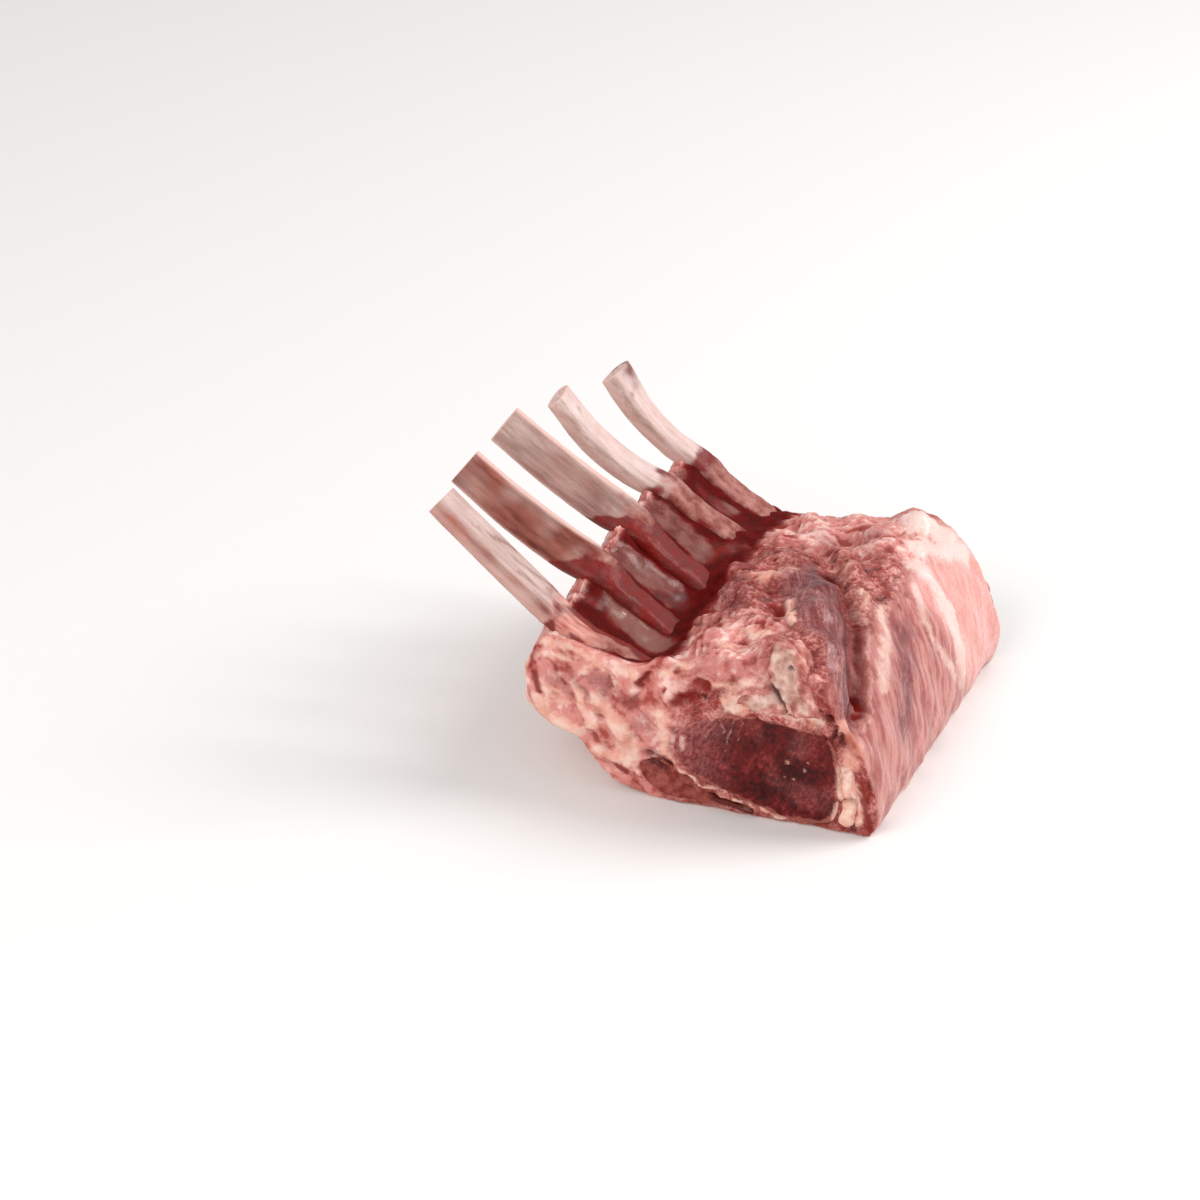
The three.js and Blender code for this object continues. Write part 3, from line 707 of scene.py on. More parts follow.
# Wet flesh: coarse and fine mottling, thin pale threads, and a height for the bump
wet_flesh, given, result = new_group("wet_flesh", {"Size": 0.25}, ["Mottle", "Fine", "Threads", "Height"])
coarse = wet_flesh.grain(given["Size"], 4.0, 0.6)
fine = wet_flesh.grain(wet_flesh.maths("MULTIPLY", given["Size"], 5.0), 3.0, 0.6)
thread = wet_flesh.grain(wet_flesh.maths("MULTIPLY", given["Size"], 1.6), 3.0, 0.5)
thread = wet_flesh.maths("ABSOLUTE", wet_flesh.maths("SUBTRACT", thread, 0.5))
wet_flesh.fill(result, {
    "Mottle": wet_flesh.spread(coarse, 0.32, 0.68),
    "Fine": wet_flesh.spread(fine, 0.3, 0.7),
    "Threads": wet_flesh.spread(thread, 0.03, 0.0),
    "Height": wet_flesh.maths("MULTIPLY_ADD", coarse, 0.5, fine),
})


def patch(paint, name, **values):
    """A mask made into a patch with a torn edge."""
    return paint.add("ShaderNodeGroup", {"Mask": paint.mask(name), **values}, node_tree=torn_edge.tree)[0]


def wet_surface(name, flesh_size):
    """A new material for something wet: the material, its paint and its wet flesh's outputs."""
    material = bpy.data.materials.new(name)
    material.use_nodes = True
    paint = Paint(material.node_tree)
    return material, paint, paint.add("ShaderNodeGroup", {"Size": flesh_size}, node_tree=wet_flesh.tree)


def finished(paint, base, roughness, height, bump_depth, coat=0.12, subsurface=0.15, shine=0.2):
    """A wet food surface: base colour, roughness and bump vary, and so may the thin coat. The
    light under the surface is the same all over, and goes deepest in red."""
    bumps = paint.add("ShaderNodeBump", {"Height": height, "Strength": 0.8, "Distance": bump_depth * MM})
    paint.fill(paint.tree.nodes["Principled BSDF"], {
        "Base Color": base, "Roughness": roughness, "Normal": bumps["Normal"],
        "Coat Weight": coat, "Coat Roughness": 0.18, "Specular IOR Level": shine,
        "Subsurface Weight": subsurface, "Subsurface Radius": (1.0, 0.35, 0.25),
        "Subsurface Scale": 2.0 * MM,
    })


def raw_lean_and_fat():
    """Dark lean, painted paler where it stands proud and darker where it sinks as painted light and
    shade. Over it lie the drier sawn side, painted paler towards the back as painted light, pale
    flesh, film, salmon tissue, fat, painted shade in pits, clefts, groove and hollow, and blood."""
    material, paint, flesh = wet_surface("raw_lean_and_fat", 0.22)
    # Tone follows the relief: painted highlight on proud lean, painted shade where it sinks
    tone = paint.maths("ADD", "tone", paint.maths("MULTIPLY_ADD", flesh["Fine"], 0.28, -0.14))
    lean = paint.toned(tone, "#5a0b06", (0.1, 0.5, "#98352d"), (0.45, 0.85, "#e69f95"))
    lean = paint.over(lean, flesh["Mottle"], "#b2655f", 0.35)
    lean = paint.over(lean, flesh["Threads"], "#f3c6ba", 0.2)
    strands = paint.spread(paint.grain(0.35, 5.0, 0.6, SIDE_WAY, 10.0), 0.36, 0.64)
    side_tone = paint.maths("MULTIPLY_ADD", strands, 0.6, paint.maths("MULTIPLY", tone, 0.5))
    side_lean = paint.toned(side_tone, "#a3504b", (0.1, 0.95, "#dc9b92"))
    # Painted light: the side pales towards the back of the rack
    side_lean = paint.over(side_lean, "back", paint.over("#e7948b", side_tone, "#fbc9c1"))
    side_lean = paint.over(side_lean, flesh["Fine"], "#b0625e", 0.3)
    base = paint.over(lean, "side", side_lean)
    pale_tone = paint.maths("ADD", "tone", paint.maths("MULTIPLY_ADD", flesh["Mottle"], 0.5, -0.25))
    pale_flesh = paint.toned(pale_tone, "#b24f44", (0.05, 0.45, "#e2938a"), (0.5, 0.85, "#fed4ca"))
    base = paint.over(base, "pale", pale_flesh, 0.92)
    strands = paint.spread(paint.grain(0.9, 4.0, 0.65, STRIP_WAY, 14.0), 0.36, 0.64)
    film_tone = paint.maths("MULTIPLY_ADD", strands, 0.5, paint.maths("MULTIPLY", "tone", 0.5))
    silverskin = paint.toned(film_tone, "#3a131a", (0.1, 0.55, "#773c42"), (0.5, 0.95, "#bd8182"))
    base = paint.over(base, "film", silverskin, 0.85)
    pleura = paint.over("#661c15", flesh["Mottle"], "#8f5148")
    pleura = paint.over(pleura, "window", "#8a5a50", 0.85)
    base = paint.over(base, "hollow", pleura, 0.9)
    tissue = paint.toned(pale_tone, "#b95a48", (0.05, 0.85, "#f6b5a3"))
    base = paint.over(base, patch(paint, "salmon", Amount=0.9), tissue, 0.75)
    side_fat = paint.over("#e9b8a9", flesh["Mottle"], "#f6d6ca")
    # Painted light: the fat on the side whitens towards the back
    side_fat = paint.over(side_fat, "back", "#fbe3dc")
    whiter = paint.maths("MAXIMUM", "side", paint.maths("MULTIPLY", "back", 0.8))
    all_fat = paint.over(paint.over("#efab96", flesh["Mottle"], "#f9d2c2"), whiter, side_fat)
    strength = paint.maths("MULTIPLY_ADD", "side", -0.15, 0.88)
    base = paint.over(base, patch(paint, "fat", Amount=0.8), all_fat, strength)
    # Painted shade: dark red in pits, the groove, low relief and the hollow
    base = paint.over(base, "depth", "#540b07")
    clotted = paint.maths("MULTIPLY", "hollow", paint.maths("MULTIPLY_ADD", flesh["Mottle"], 0.6, 0.1))
    wet_blood = paint.over(paint.over("#a82519", "blood", "#6c0602"), clotted, "#380201")
    base = paint.over(base, patch(paint, "blood", Amount=0.6), wet_blood, 0.9)
    dryness = paint.maths("MULTIPLY_ADD", flesh["Mottle"], -0.6, "depth")
    wetness = paint.spread(dryness, -0.6, 0.6, 0.45, 0.0)
    deep_roughness = paint.maths("MULTIPLY_ADD", "depth", 0.4, 0.28)
    roughness = paint.maths("MULTIPLY_ADD", flesh["Fine"], 0.22, deep_roughness)
    finished(paint, base, roughness, flesh["Height"], bump_depth=0.35, coat=wetness, shine=0.12)
    return material


make_piece("meat_block_skin", shown_points, block_faces, block_masks, raw_lean_and_fat(),
           "lean_and_fat", "meat_block")

# The loin eye
# The dark red muscle that runs the length of the rack and shows at both cuts. Its cut face is
# finely ribbed by the ends of its fibres and flecked with fat.

# The flecks and seams of fat on its cut face, each a reach, a strength and a line of (x, z)
EYE_SPECKS = at_front([
    (0.9, 0.62, (41.8, 18.7)), (0.7, 0.55, (46.4, 17.2)), (0.6, 0.55, (47.7, 19.9)),
    (0.6, 0.5, (41.2, 14.3)), (0.6, 0.5, (43.7, 13.9)),
    (0.45, 0.45, (26.3, 28.6), (24.7, 23.4), (24, 18.7)),
    (0.45, 0.4, (22.3, 28.6), (23.7, 24.4), (22, 21.7)),
    (0.45, 0.35, (29.3, 28.6), (27.7, 25.4), (27.8, 22.7)), (0.5, 0.35, (20, 26), (18.2, 22)),
    (1.3, 0.6, (11.4, 20.3), (11.4, 17.5)), (1.9, 0.9, (57.6, 19.5), (57.4, 12)),
    (1.5, 0.9, (57, 8.5), (55.8, 3.8)),
])


def strand(corners, count, centre, steps, rounding, proud):
    """A piece that runs along the rack from cut to cut and stands a little proud of them: its
    points, faces and outward directions, and how far each point is part of a cut face."""
    loop = loop_of(corners, count)
    end = HALF_LENGTH + proud - rounding
    points, faces = skin(cut_rings(lambda y: np.repeat(loop[None], len(y), 0), np.linspace(-end, end, 8),
                                   centre, steps, rounding))
    normals = outward(points, faces)
    return points, faces, normals, ramp(np.abs(normals[:, 1]), 0.4, 0.9)


def border_of(points, loop, seed, low, high):
    """1 outside an uneven loop seen along the rack, and 0 well inside it."""
    x, _, z = warped(points, seed).T
    return 1 - ramp(inside_loop(x, z, loop), low, high)


points, faces, normals, at_cut = strand(
    EYE_OUTLINE, count=14, centre=(35.0, 16.0), steps=44, rounding=0.6, proud=0.1)
fleck = marks(mix(points, warped(points, 66), 0.4), EYE_SPECKS)
relief = at_cut * (0.45 * noise(points, 6.5, 60) + 0.22 * crests(warped(points, 65), 2.6, 61)
                   + 0.16 * noise(points, 1.2, 62) - 0.2 + 0.3 * fleck)
x, _, z = points.T
eye_masks = {
    "fat": fleck,
    "pale": 0.8 * fall(x, 10, 30) + 0.35 * ramp(noise(points, 8, 64), 0, 0.8)
    + 0.4 * fall(x, 14, 36) * ramp(z, 20, 28),
    "border": border_of(points, EYE_LOOP, 67, 0.0, 1.5),
    # Tone follows the relief: painted highlight on raised fibre ends, painted shade in the dips
    "tone": 0.5 + 0.8 * relief,
}


def cut_loin():
    """Dark red fibre ends, paler to the left, with a pale border and flecks of fat. The fibre ends
    are lighter where raised and darker in the dips, as painted highlight and shade.
    """
    material, paint, flesh = wet_surface("cut_loin", 0.3)
    ends = paint.spread(paint.grain(1.2, 4.0, 0.7, (0.5, 0, 1), 1.8), 0.36, 0.66)
    tone = paint.maths("ADD", "tone", paint.maths("MULTIPLY_ADD", ends, 0.3, -0.13))
    base = paint.toned(tone, "#3a0304", (0.1, 0.6, "#66100e"), (0.5, 1.0, "#963b3a"))
    base = paint.over(base, "pale", paint.over("#883a3a", ends, "#c47a78"), 0.75)
    base = paint.over(base, patch(paint, "border", Size=1.0, Amount=0.9), "#c9796c", 0.5)
    base = paint.over(base, patch(paint, "fat", Size=1.6, Amount=0.7), "#f0bfb0", 0.8)
    finished(paint, base, paint.spread(ends, 0, 1, 0.35, 0.55), flesh["Height"], bump_depth=0.35, coat=0.02)
    return material


make_piece("loin_eye_muscle", points + relief[:, None] * normals, faces, eye_masks, cut_loin(),
           "dark_lean", "loin_eye")

# The thin muscle under the eye
# A flat red muscle between the loin eye and the outer fat, with a pale seam of fat over it and a
# dark gap where it has drawn back from the cut.
UNDER_SEAM = at_front([(0.6, 1.0, (6.0, 12.6), (15.4, 8.0), (24.1, 5.0), (30.5, 3.2))])
UNDER_GAP = at_front([
    (1.3, 1.0, (21.0, 3.6), (26.0, 2.6), (32.0, 1.5)), (1.2, 0.8, (1.0, 12.6), (6.0, 10.6)),
])

points, faces, normals, at_cut = strand(
    UNDER_OUTLINE, count=10, centre=(12.0, 6.0), steps=22, rounding=0.7, proud=0.0)
seam = marks(warped(points, 74), UNDER_SEAM)
gap = marks(points, UNDER_GAP)
relief = at_cut * (0.3 * noise(points, 4, 70) + 0.2 * noise(points, 1.8, 71) + 0.3 * seam - 1.6 * gap)


def cut_flank():
    """Mottled red, pale along the seam, and dark in the gap as painted shade."""
    material, paint, flesh = wet_surface("cut_flank", 0.3)
    base = paint.over("#7a251d", flesh["Mottle"], "#ac5b50")
    base = paint.over(base, patch(paint, "fat"), "#dc9c8a")
    base = paint.over(base, "gap", "#4a0e0b")
    finished(paint, base, paint.spread(flesh["Fine"], 0, 1, 0.34, 0.55), flesh["Height"], bump_depth=0.3)
    return material


make_piece("under_muscle_flesh", points + relief[:, None] * normals, faces, {"fat": seam, "gap": gap},
           cut_flank(), "under_lean", "under_muscle")

# The sinew beside the eye
# A white back sinew with fat round it, upright at the right of both cuts. It is pinched into two
# lumps near its middle.
PINCH_HEIGHT = 10.6

points, faces, normals, at_cut = strand(
    SINEW_OUTLINE, count=10, centre=(60.0, 11.0), steps=20, rounding=0.7, proud=0.2)
pinch = bump(points[:, 2] - PINCH_HEIGHT - 0.5 * noise(points, 3, 80), 0.7)
relief = at_cut * (0.7 * noise(points, 3.2, 81) + 0.3 * noise(points, 1.4, 82) + 0.3 - 0.9 * pinch)
sinew_masks = {"gap": pinch * at_cut, "border": border_of(points, SINEW_LOOP, 83, -0.2, 1.3)}


def white_sinew():
    """Cream fat, redder at its border and in the pinch."""
    material, paint, flesh = wet_surface("white_sinew", 0.35)
    base = paint.over("#f2b7a1", flesh["Mottle"], "#fddccc")
    base = paint.over(base, patch(paint, "border", Size=1.0, Amount=0.9), "#d98d7d", 0.6)
    base = paint.over(base, "gap", "#a85a4a", 0.6)
    finished(paint, base, paint.spread(flesh["Fine"], 0, 1, 0.32, 0.5), flesh["Height"], bump_depth=0.25)
    return material


make_piece("back_sinew_cord", points + relief[:, None] * normals, faces, sinew_masks, white_sinew(),
           "sinew_fat", "back_sinew")

# The gristle on the ridge
# A cream lump of cartilage left where the saw went through the blade end, standing out of the
# ridge at the front cut, with a dark cleft down its left and pink flesh drawn over its foot.
LUMP_MIDDLE = np.array([40.0, 38.0])
LUMP_DEPTH = 14.0
LUMP_TAPER = 0.85
LUMP_EDGE = 0.4
LUMP_STEPS = 34
FACE_STEPS = 26
BACK_STEPS = 12
# The cleft and a pit over it, and the cream lobes, each a reach, a strength, a line of (x, y, z)
LUMP_CLEFT = [
    (0.7, 1.0, (35, -57, 43.5), (37.2, -59.5, 40), (38.8, -59.5, 37.5), (40.5, -59.5, 36),
     (42, -59.5, 33.5)),
    (0.8, 0.9, (42.3, -59.5, 47.3)),
]
LUMP_CREAM = [
    (3.4, 1.3, (40, -59.5, 50), (40.5, -59.5, 45), (41, -59.5, 40)),
    (2.2, 1.2, (37, -59.5, 37), (31.5, -59.5, 35)), (2, 0.8, (43.5, -59.5, 38), (46, -59.5, 35.5)),
]


def lump_rings():
    """The lump's outline grown from its middle over the sawn face, then carried back into the
    ridge while it shrinks as the square root of 1 minus the square of taper times depth, and
    closed at the back."""
    depth = np.linspace(0, 1, LUMP_STEPS)
    body = np.sqrt(1 - (LUMP_TAPER * depth) ** 2)
    face = np.linspace(0.04, 0.97, FACE_STEPS)
    back = np.linspace(body[-1], 0.05, BACK_STEPS)[1:]
    sizes = np.concatenate([face, body, back])[:, None, None]
    loops = LUMP_MIDDLE + sizes * (loop_of(LUMP_OUTLINE, 12) - LUMP_MIDDLE)
    ring_y = np.concatenate([0 * face, LUMP_EDGE + depth * LUMP_DEPTH, 0 * back + LUMP_DEPTH + LUMP_EDGE])
    ring_y = np.repeat(ring_y[:, None] - HALF_LENGTH, loops.shape[1], 1)
    return np.stack([loops[:, :, 0], ring_y, loops[:, :, 1]], -1)


points, faces = skin(lump_rings())
normals = outward(points, faces)
shifted = warped(points, 90)
cleft = marks(mix(points, shifted, 0.5), LUMP_CLEFT)
around_cleft = marks(shifted, [(2.2, 0.8, *LUMP_CLEFT[0][2:])])
medium, small = noise(points, 2.8, 93), noise(points, 1.4, 95)
relief = 0.9 * noise(points, 5.5, 98) + 0.5 * medium + 0.25 * small - 1.6 * cleft - 0.3 * around_cleft
# The cleft is painted dark and the shade beside it grey: painted shade in and by the crack
lump_masks = {"cream": marks(shifted, LUMP_CREAM), "cleft": cleft, "shade": around_cleft,
              # Tone follows the relief's noises: painted highlight on the bumps, painted shade between them
              "tone": 0.5 + 0.5 * medium + 0.3 * small}


def cream_gristle():
    """Pink flesh with cream lobes in it, lighter on its bumps as painted highlight, and grey beside
    the cleft and dark in it as painted shade.
    """
    material, paint, flesh = wet_surface("cream_gristle", 0.4)
    tone = paint.maths("ADD", "tone", paint.maths("MULTIPLY_ADD", flesh["Fine"], 0.24, -0.12))
    base = paint.toned(tone, "#98423a", (0.1, 0.6, "#c67b71"), (0.55, 0.95, "#efb8ab"))
    lobe = paint.toned(tone, "#b58576", (0.1, 0.7, "#d8afa1"), (0.6, 1.0, "#eccbbf"))
    base = paint.over(base, patch(paint, "cream", Size=0.6, Amount=0.9), lobe, 0.92)
    base = paint.over(base, "shade", "#a98a80", 0.35)
    base = paint.over(base, patch(paint, "cleft", Size=1.2, Amount=0.7), "#5b4642", 0.85)
    finished(paint, base, paint.spread(flesh["Fine"], 0, 1, 0.34, 0.5), flesh["Height"], bump_depth=0.3)
    return material


make_piece("ridge_gristle", points + relief[:, None] * normals, faces, lump_masks, cream_gristle(),
           "gristle", "ridge_lump")

# The ribs
# Five rib bones, scraped bare from the lip of the meat to their sawn tips. Each is a flat oval
# that follows the inside of the rib cage, turns about its length once it is bare, and ends in a
# sawn face with spongy marrow inside a pale rim.
BURIED_WIDTH = 10.5
OVAL_SQUARENESS = 0.72
RIB_SIDES = 56
RIB_STEPS = 150
END_STEPS = 14
SPLINE_STEPS = 60
BARE_PARTS = (0.3, 0.65, 1.0)
# Front to back. A tip is (x, z), a turn is in degrees, and brown is how strongly it is stained;
# it also scales the painted shade laid with the brown away from the upper edge
RIBS = [
    dict(tip=(-62.6, 76.2), lean=0.0, width=12.4, tip_width=12.4, turn=4.0, bow=0.3, brown=1.0),
    dict(tip=(-66.2, 75.3), lean=1.0, width=12.2, tip_width=11.6, turn=52.0, bow=1.5, brown=1.1),
    dict(tip=(-63.3, 79.8), lean=5.0, width=12.4, tip_width=12.0, turn=48.0, bow=1.0, brown=0.6),
    dict(tip=(-56.5, 80.0), lean=7.0, width=12.0, tip_width=11.0, turn=2.0, bow=3.8, brown=0.2),
    dict(tip=(-50.7, 76.4), lean=2.0, width=9.8, tip_width=13.2, turn=8.0, bow=3.0, brown=0.3),
]
# Stains on the bare bones, each a rib, a place along it, a place across it, two reaches, a strength
RIB_STAINS = [
    (3, 0.92, -0.15, 0.012, 0.14, 0.9), (4, 0.99, -0.65, 0.06, 0.65, 1.3),
    (4, 0.93, -0.25, 0.03, 0.35, 0.7), (4, 0.90, 0.35, 0.012, 0.2, 0.6), (0, 0.80, -0.1, 0.05, 0.05, 0.5),
    (1, 0.99, 0.8, 0.03, 0.5, 0.5),
]
# Dark scratches on the first bone, each a line of places along and across it
RIB_SCRATCHES = [
    ((0.86, -0.05), (0.80, -0.2), (0.755, -0.55)), ((0.80, -0.35), (0.75, -0.62), (0.72, -0.8)),
    ((0.74, -0.1), (0.64, -0.35), (0.56, -0.65)), ((0.67, 0.3), (0.58, 0.1), (0.50, 0)),
]
SCRATCH_LENGTH = 110
SCRATCH_WIDTH = 6


def open_spline(corners, count):
    """A smooth open curve through the corners, as points in even steps. The end slopes come from a
    corner mirrored past each end, and the sides are cubics as in a closed curve."""
    ends = np.concatenate([[2 * corners[0] - corners[1]], corners, [2 * corners[-1] - corners[-2]]])
    curve = closed_spline(ends[None], [SPLINE_STEPS] * len(ends))[0]
    curve = curve[SPLINE_STEPS:SPLINE_STEPS * (len(ends) - 2) + 1]
    travelled = np.concatenate([[0], np.linalg.norm(np.diff(curve, axis=0), axis=1).cumsum()])
    wanted = np.linspace(0, travelled[-1], count)
    return np.stack([np.interp(wanted, travelled, curve[:, axis]) for axis in range(3)], -1)


def rib_line(rib, y):
    """A rib's middle line, from its end under the ridge round the hollow to the bare tip. The bare
    part bows as 4t(1 - t) and leans along the rack."""
    buried = buried_line(np.array([y]))[0]
    path = np.array(rib["tip"]) - buried[-1]
    sag = rib["bow"] * np.array([-path[1], path[0]]) / np.linalg.norm(path)
    corners = [(x, y, z) for x, z in buried]
    for part in BARE_PARTS:
        x, z = buried[-1] + part * path + 4 * part * (1 - part) * sag
        corners.append((x, y - rib["lean"] * part, z))
    return open_spline(np.array(corners), RIB_STEPS)


def turned(vectors, axes, angles):
    """Vectors turned about axes square to them: cosine of the angle along, sine across."""
    angles = angles[:, None]
    return vectors * np.cos(angles) + np.cross(axes, vectors) * np.sin(angles)


def rib_rings(rib, y):
    """Superellipses carried along the rib's line, then shrunk into both ends. With the rings come
    each point's place across the width and the thickness, from -1 to 1, along the rib, and into
    its sawn face, from 0 to 1."""
    line = rib_line(rib, y)
    place_along = np.linspace(0, 1, RIB_STEPS)
    along = np.gradient(line, axis=0)
    along /= np.linalg.norm(along, axis=1)[:, None]
    bare = ramp(place_along, 0.36, 0.6)
    flare = ramp(place_along, 0.7, 1.0)
    inward = np.stack([along[:, 2], 0 * bare, -along[:, 0]], -1)
    inward /= np.linalg.norm(inward, axis=1)[:, None]
    across = np.cross(inward, along)
    angle = -np.radians(rib["turn"]) * bare
    across, inward = turned(across, along, angle), turned(inward, along, angle)
    half_width = mix(mix(BURIED_WIDTH, rib["width"], bare), rib["tip_width"], flare) / 2
    half_thickness = mix(RIB_THICKNESS, RIB_THICKNESS * 0.92, flare) / 2
    turns = 2 * np.pi * np.arange(RIB_SIDES) / RIB_SIDES
    waves = np.cos(turns), np.sin(turns)
    wide, thick = (np.sign(wave) * np.abs(wave) ** OVAL_SQUARENESS for wave in waves)
    arms = (half_width[:, None, None] * wide[None, :, None] * across[:, None]
            + half_thickness[:, None, None] * thick[None, :, None] * inward[:, None])
    shrink = np.linspace(0.97, 0.05, END_STEPS)
    start = line[0] + shrink[::-1, None, None] * arms[0]
    end = line[-1] + shrink[:, None, None] * arms[-1] + 0.25 * along[-1]
    rings = np.concatenate([start, line[:, None] + arms, end])
    far = np.concatenate([np.zeros(END_STEPS), place_along, np.ones(END_STEPS)])
    on_face = np.concatenate([np.zeros(END_STEPS + RIB_STEPS), 1 - shrink])
    wide, thick = (np.append(np.tile(part, len(rings)), [0, 0]) for part in (wide, thick))
    far, on_face = (np.append(np.repeat(part, RIB_SIDES), [0, 1]) for part in (far, on_face))
    return rings, wide, thick, far, on_face


def rib_stain(index, points, wide, thick, far):
    """How strongly each point is stained: a bell along and across for each spot, and the scratches
    on the outer face of the first bone."""
    stain = np.zeros(len(points))
    for at, place_along, place_across, reach, reach_across, strength in RIB_STAINS:
        if at == index:
            spot = bump(far - place_along, reach) * bump(wide - place_across, reach_across)
            stain = np.maximum(stain, strength * spot * (0.7 + 0.5 * noise(points, 2.5, 180)))
    if index == 0:
        flat = np.stack([far * SCRATCH_LENGTH, wide * SCRATCH_WIDTH, 0 * far], -1)
        lines = [(0.5, 0.7, *((along * SCRATCH_LENGTH, across * SCRATCH_WIDTH, 0) for along, across in line))
                 for line in RIB_SCRATCHES]
        stain = np.maximum(stain, marks(flat, lines) * ramp(thick, 0.1, 0.5))
    return stain


def scraped_bone():
    """Scraped bone, streaked along its length, with brown stain, white parts, pale edges and stains.
    The white lies on the face towards the key light, the brown away from the upper edge, as painted
    light and shade; the pale edges are a painted highlight along the shaft and the pale rim of the sawn
    face. Film covers its root, blood its foot, and marrow shows at its tip."""
    material, paint, flesh = wet_surface("scraped_bone", 0.25)
    scraped = paint.grain(0.6, 3.0, 0.55, (-0.83, 0.0, 0.55), 16.0)
    base = paint.toned(scraped, "#b4998e", (0.33, 0.7, "#dfc9c1"))
    base = paint.over(base, "brown", paint.over("#6c2c23", "streak", "#ab6658"))
    base = paint.over(base, "white", paint.over("#e9c0ba", "streak", "#fae7e3"))
    base = paint.over(base, "edge", "#f3c3b9")
    base = paint.over(base, "stain", "#8a5b57")
    root_film = paint.over("#8a3f36", flesh["Mottle"], "#bb8075")
    root_film = paint.over(root_film, "rosy", paint.over("#b0493e", "streak", "#f2b9ab"))
    base = paint.over(base, "root", root_film)
    rib_blood = paint.over("#860e08", flesh["Mottle"], "#660a06")
    base = paint.over(base, patch(paint, "blood", Size=0.4, Amount=0.7), rib_blood, 0.92)
    marrow_colour = paint.over("#cba399", flesh["Fine"], "#edd3ca")
    base = paint.over(base, patch(paint, "marrow", Size=1.0, Amount=0.5), marrow_colour)
    height = paint.maths("MULTIPLY_ADD", scraped, 0.6, flesh["Fine"])
    roughness = paint.spread(flesh["Fine"], 0, 1, 0.36, 0.52)
    finished(paint, base, roughness, height, bump_depth=0.1, coat=0.1, subsurface=0.1)
    return material


bone = scraped_bone()
for index, rib in enumerate(RIBS):
    rings, wide, thick, far, on_face = rib_rings(rib, rib_y(index))
    points, faces = skin(rings)
    normals = outward(points, faces)
    local = np.stack([far * 9.0, 5 * wide, 3 * thick], -1)
    streaks = 0.6 * noise(local, 1.5, 100 + index) + 0.4 * noise(local * (2.0, 1, 1), 0.7, 110 + index)
    marrow = ramp(on_face, 0.16, 0.3)
    shaft = 1 - ramp(on_face, 0, 0.05)
    root = fall(far + 0.04 * noise(points, 5, 158), 0.47, 0.54)
    relief = (shaft * (0.16 * streaks - 0.35 * bump(wide, 0.5) * bump(thick - 1, 0.4))
              + root * (0.35 * noise(points, 4.5, 160 + index) + 0.12 * noise(points, 1.9, 170 + index))
              + marrow * (0.3 * noise(points, 1.2, 120 + index) - 0.2))
    twisted = ramp(rib["turn"], 20, 40)
    upper_edge = ramp(-wide, 0.72, 0.93)
    lower_edge = ramp(wide, 0.25, 0.85)
    patchy = 0.8 + 0.5 * noise(points, 9, 140 + index)
    wedge = 0.45 + 0.17 * ramp(wide, -0.4, 1.0) + 0.03 * noise(points, 6, 152) + 0.02 * streaks - far
    blood = (1.1 * twisted * ramp(wedge, -0.02, 0.03)
             + 0.8 * bump(far - 0.52, 0.05) * ramp(noise(points, 7, 150 + index), -0.3, 0.4)
             + (index == 0) * ramp(-wide + 0.3 * noise(points, 5, 153), 0.15, 0.4) * fall(far, 0.44, 0.5)
             + 0.8 * root * ramp(np.abs(wide), 0.75, 0.95) * ramp(noise(points, 7, 155 + index), -0.3, 0.3)
             + 0.9 * fall(far + 0.03 * noise(points, 4, 159), 0.15, 0.25))
    # White: the clean bone's colour, laid on the face towards the key light as painted light
    white = ramp(thick, 0.0, 0.7) * (1 - lower_edge) * (1 - twisted) * (1 - 0.6 * rib["brown"])
    rib_masks = {
        # Brown: the bone's stain, laid away from the upper edge as painted shade
        "brown": rib["brown"] * patchy * mix(0.35 + 0.65 * lower_edge, 1 - upper_edge, twisted),
        "white": shaft * white * (0.95 - 0.2 * patchy),
        # Edge: a painted highlight along the shaft's edges, and the pale rim round the marrow
        "edge": shaft * (0.85 * upper_edge + 0.4 * ramp(wide, 0.9, 1.0)) + (1 - shaft) * (1 - marrow),
        "streak": 0.5 + 0.9 * streaks,
        "stain": rib_stain(index, points, wide, thick, far),
        "root": root * shaft,
        "rosy": (index == 0) * ramp(far, 0.28, 0.38),
        "blood": blood,
        "marrow": marrow,
    }
    sunk_end = 1.8 * fall(far, 0.12, 0.26)[:, None] * (0, 0, -1)
    make_piece(f"rib_bone_{index + 1}", points + relief[:, None] * normals + sunk_end, faces, rib_masks,
               bone, "bone", f"rib_{index + 1}")

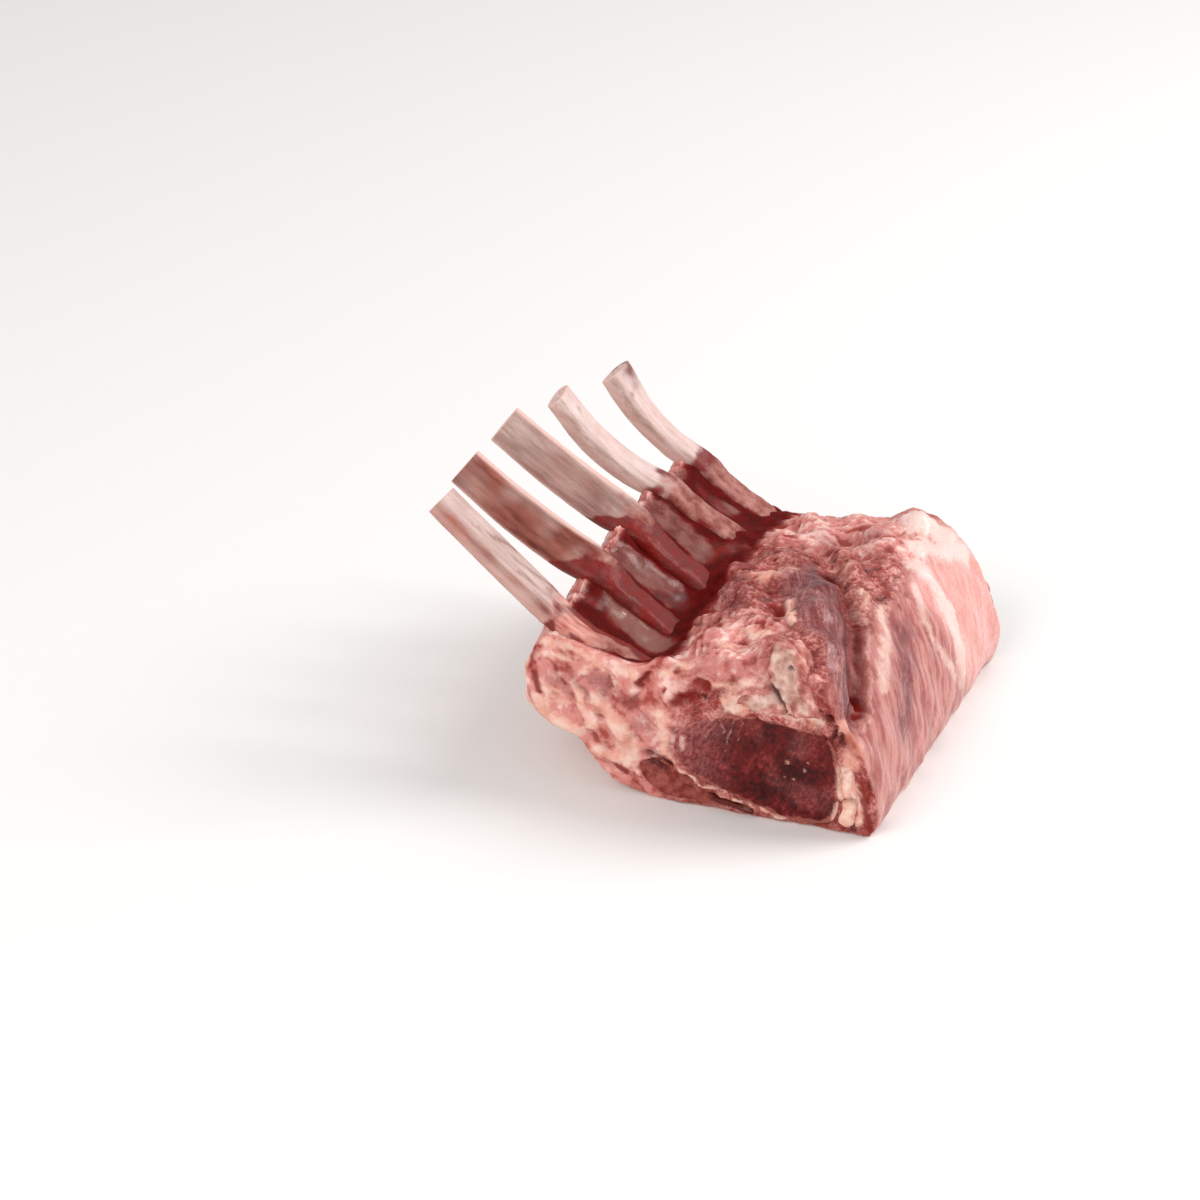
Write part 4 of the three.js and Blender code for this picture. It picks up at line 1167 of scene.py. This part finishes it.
# The floor
# A plain pale floor of one even colour, a fifth of a millimetre under the meat so that the two
# surfaces don't coincide.
FLOOR_SIZE = 6.0
FLOOR_DROP = 0.0002
bpy.ops.mesh.primitive_plane_add(size=FLOOR_SIZE, location=(0, 0, -FLOOR_DROP))
floor = bpy.context.object
floor.name = "floor"
floor_material = bpy.data.materials.new("pale_floor")
floor_material.use_nodes = True
floor_paint = Paint(floor_material.node_tree)
floor_paint.fill(floor_paint.tree.nodes["Principled BSDF"], {
    "Base Color": colour("#f6f5f4"), "Roughness": 0.9, "Specular IOR Level": 0.1,
})
floor.data.materials.append(floor_material)

# The light
# White light from all round, a soft key light from the right and behind, and a softer fill from
# the front.
TARGET = Vector((0.0, 0.0, 0.03))
world = bpy.data.worlds.new("studio")
world.use_nodes = True
Paint(world.node_tree).fill(world.node_tree.nodes["Background"], {
    "Color": (1.0, 1.0, 1.0, 1.0), "Strength": 0.55,
})
bpy.context.scene.world = world


def soft_light(name, location, size, power, tint):
    light = bpy.data.lights.new(name, "AREA")
    light.shape = "DISK"
    light.size = size
    light.energy = power
    light.color = tint
    lamp = bpy.data.objects.new(name, light)
    lamp.location = location
    lamp.rotation_euler = (TARGET - location).to_track_quat("-Z", "Y").to_euler()
    bpy.context.scene.collection.objects.link(lamp)


soft_light("key_light", Vector((0.85, 0.55, 0.95)), size=0.8, power=12.0, tint=(1.0, 0.98, 0.97))
soft_light("fill_light", Vector((-0.25, -1.15, 0.85)), size=0.9, power=8.0, tint=(1.0, 0.98, 0.96))

# The camera
# It stands in the photograph's place, to the right of the front cut and above it, and looks at
# the rack through a long lens.
CAMERA_AZIMUTH = np.radians(21.3)
CAMERA_ELEVATION = np.radians(26.0)
CAMERA_DISTANCE = 1.2
CAMERA_AIM = Vector((-0.056, 0.0515, 0.0))
CAMERA_LENS = 118.03
CAMERA_SENSOR = 36.0
camera_data = bpy.data.cameras.new("camera")
camera_data.lens = CAMERA_LENS
camera_data.sensor_width = CAMERA_SENSOR
camera = bpy.data.objects.new("camera", camera_data)
back = Vector((np.sin(CAMERA_AZIMUTH) * np.cos(CAMERA_ELEVATION),
               -np.cos(CAMERA_AZIMUTH) * np.cos(CAMERA_ELEVATION), np.sin(CAMERA_ELEVATION)))
camera.location = CAMERA_AIM + back * CAMERA_DISTANCE
camera.rotation_euler = (-back).to_track_quat("-Z", "Y").to_euler()
bpy.context.scene.collection.objects.link(camera)
bpy.context.scene.camera = camera
bpy.context.scene.view_settings.view_transform = "Standard"
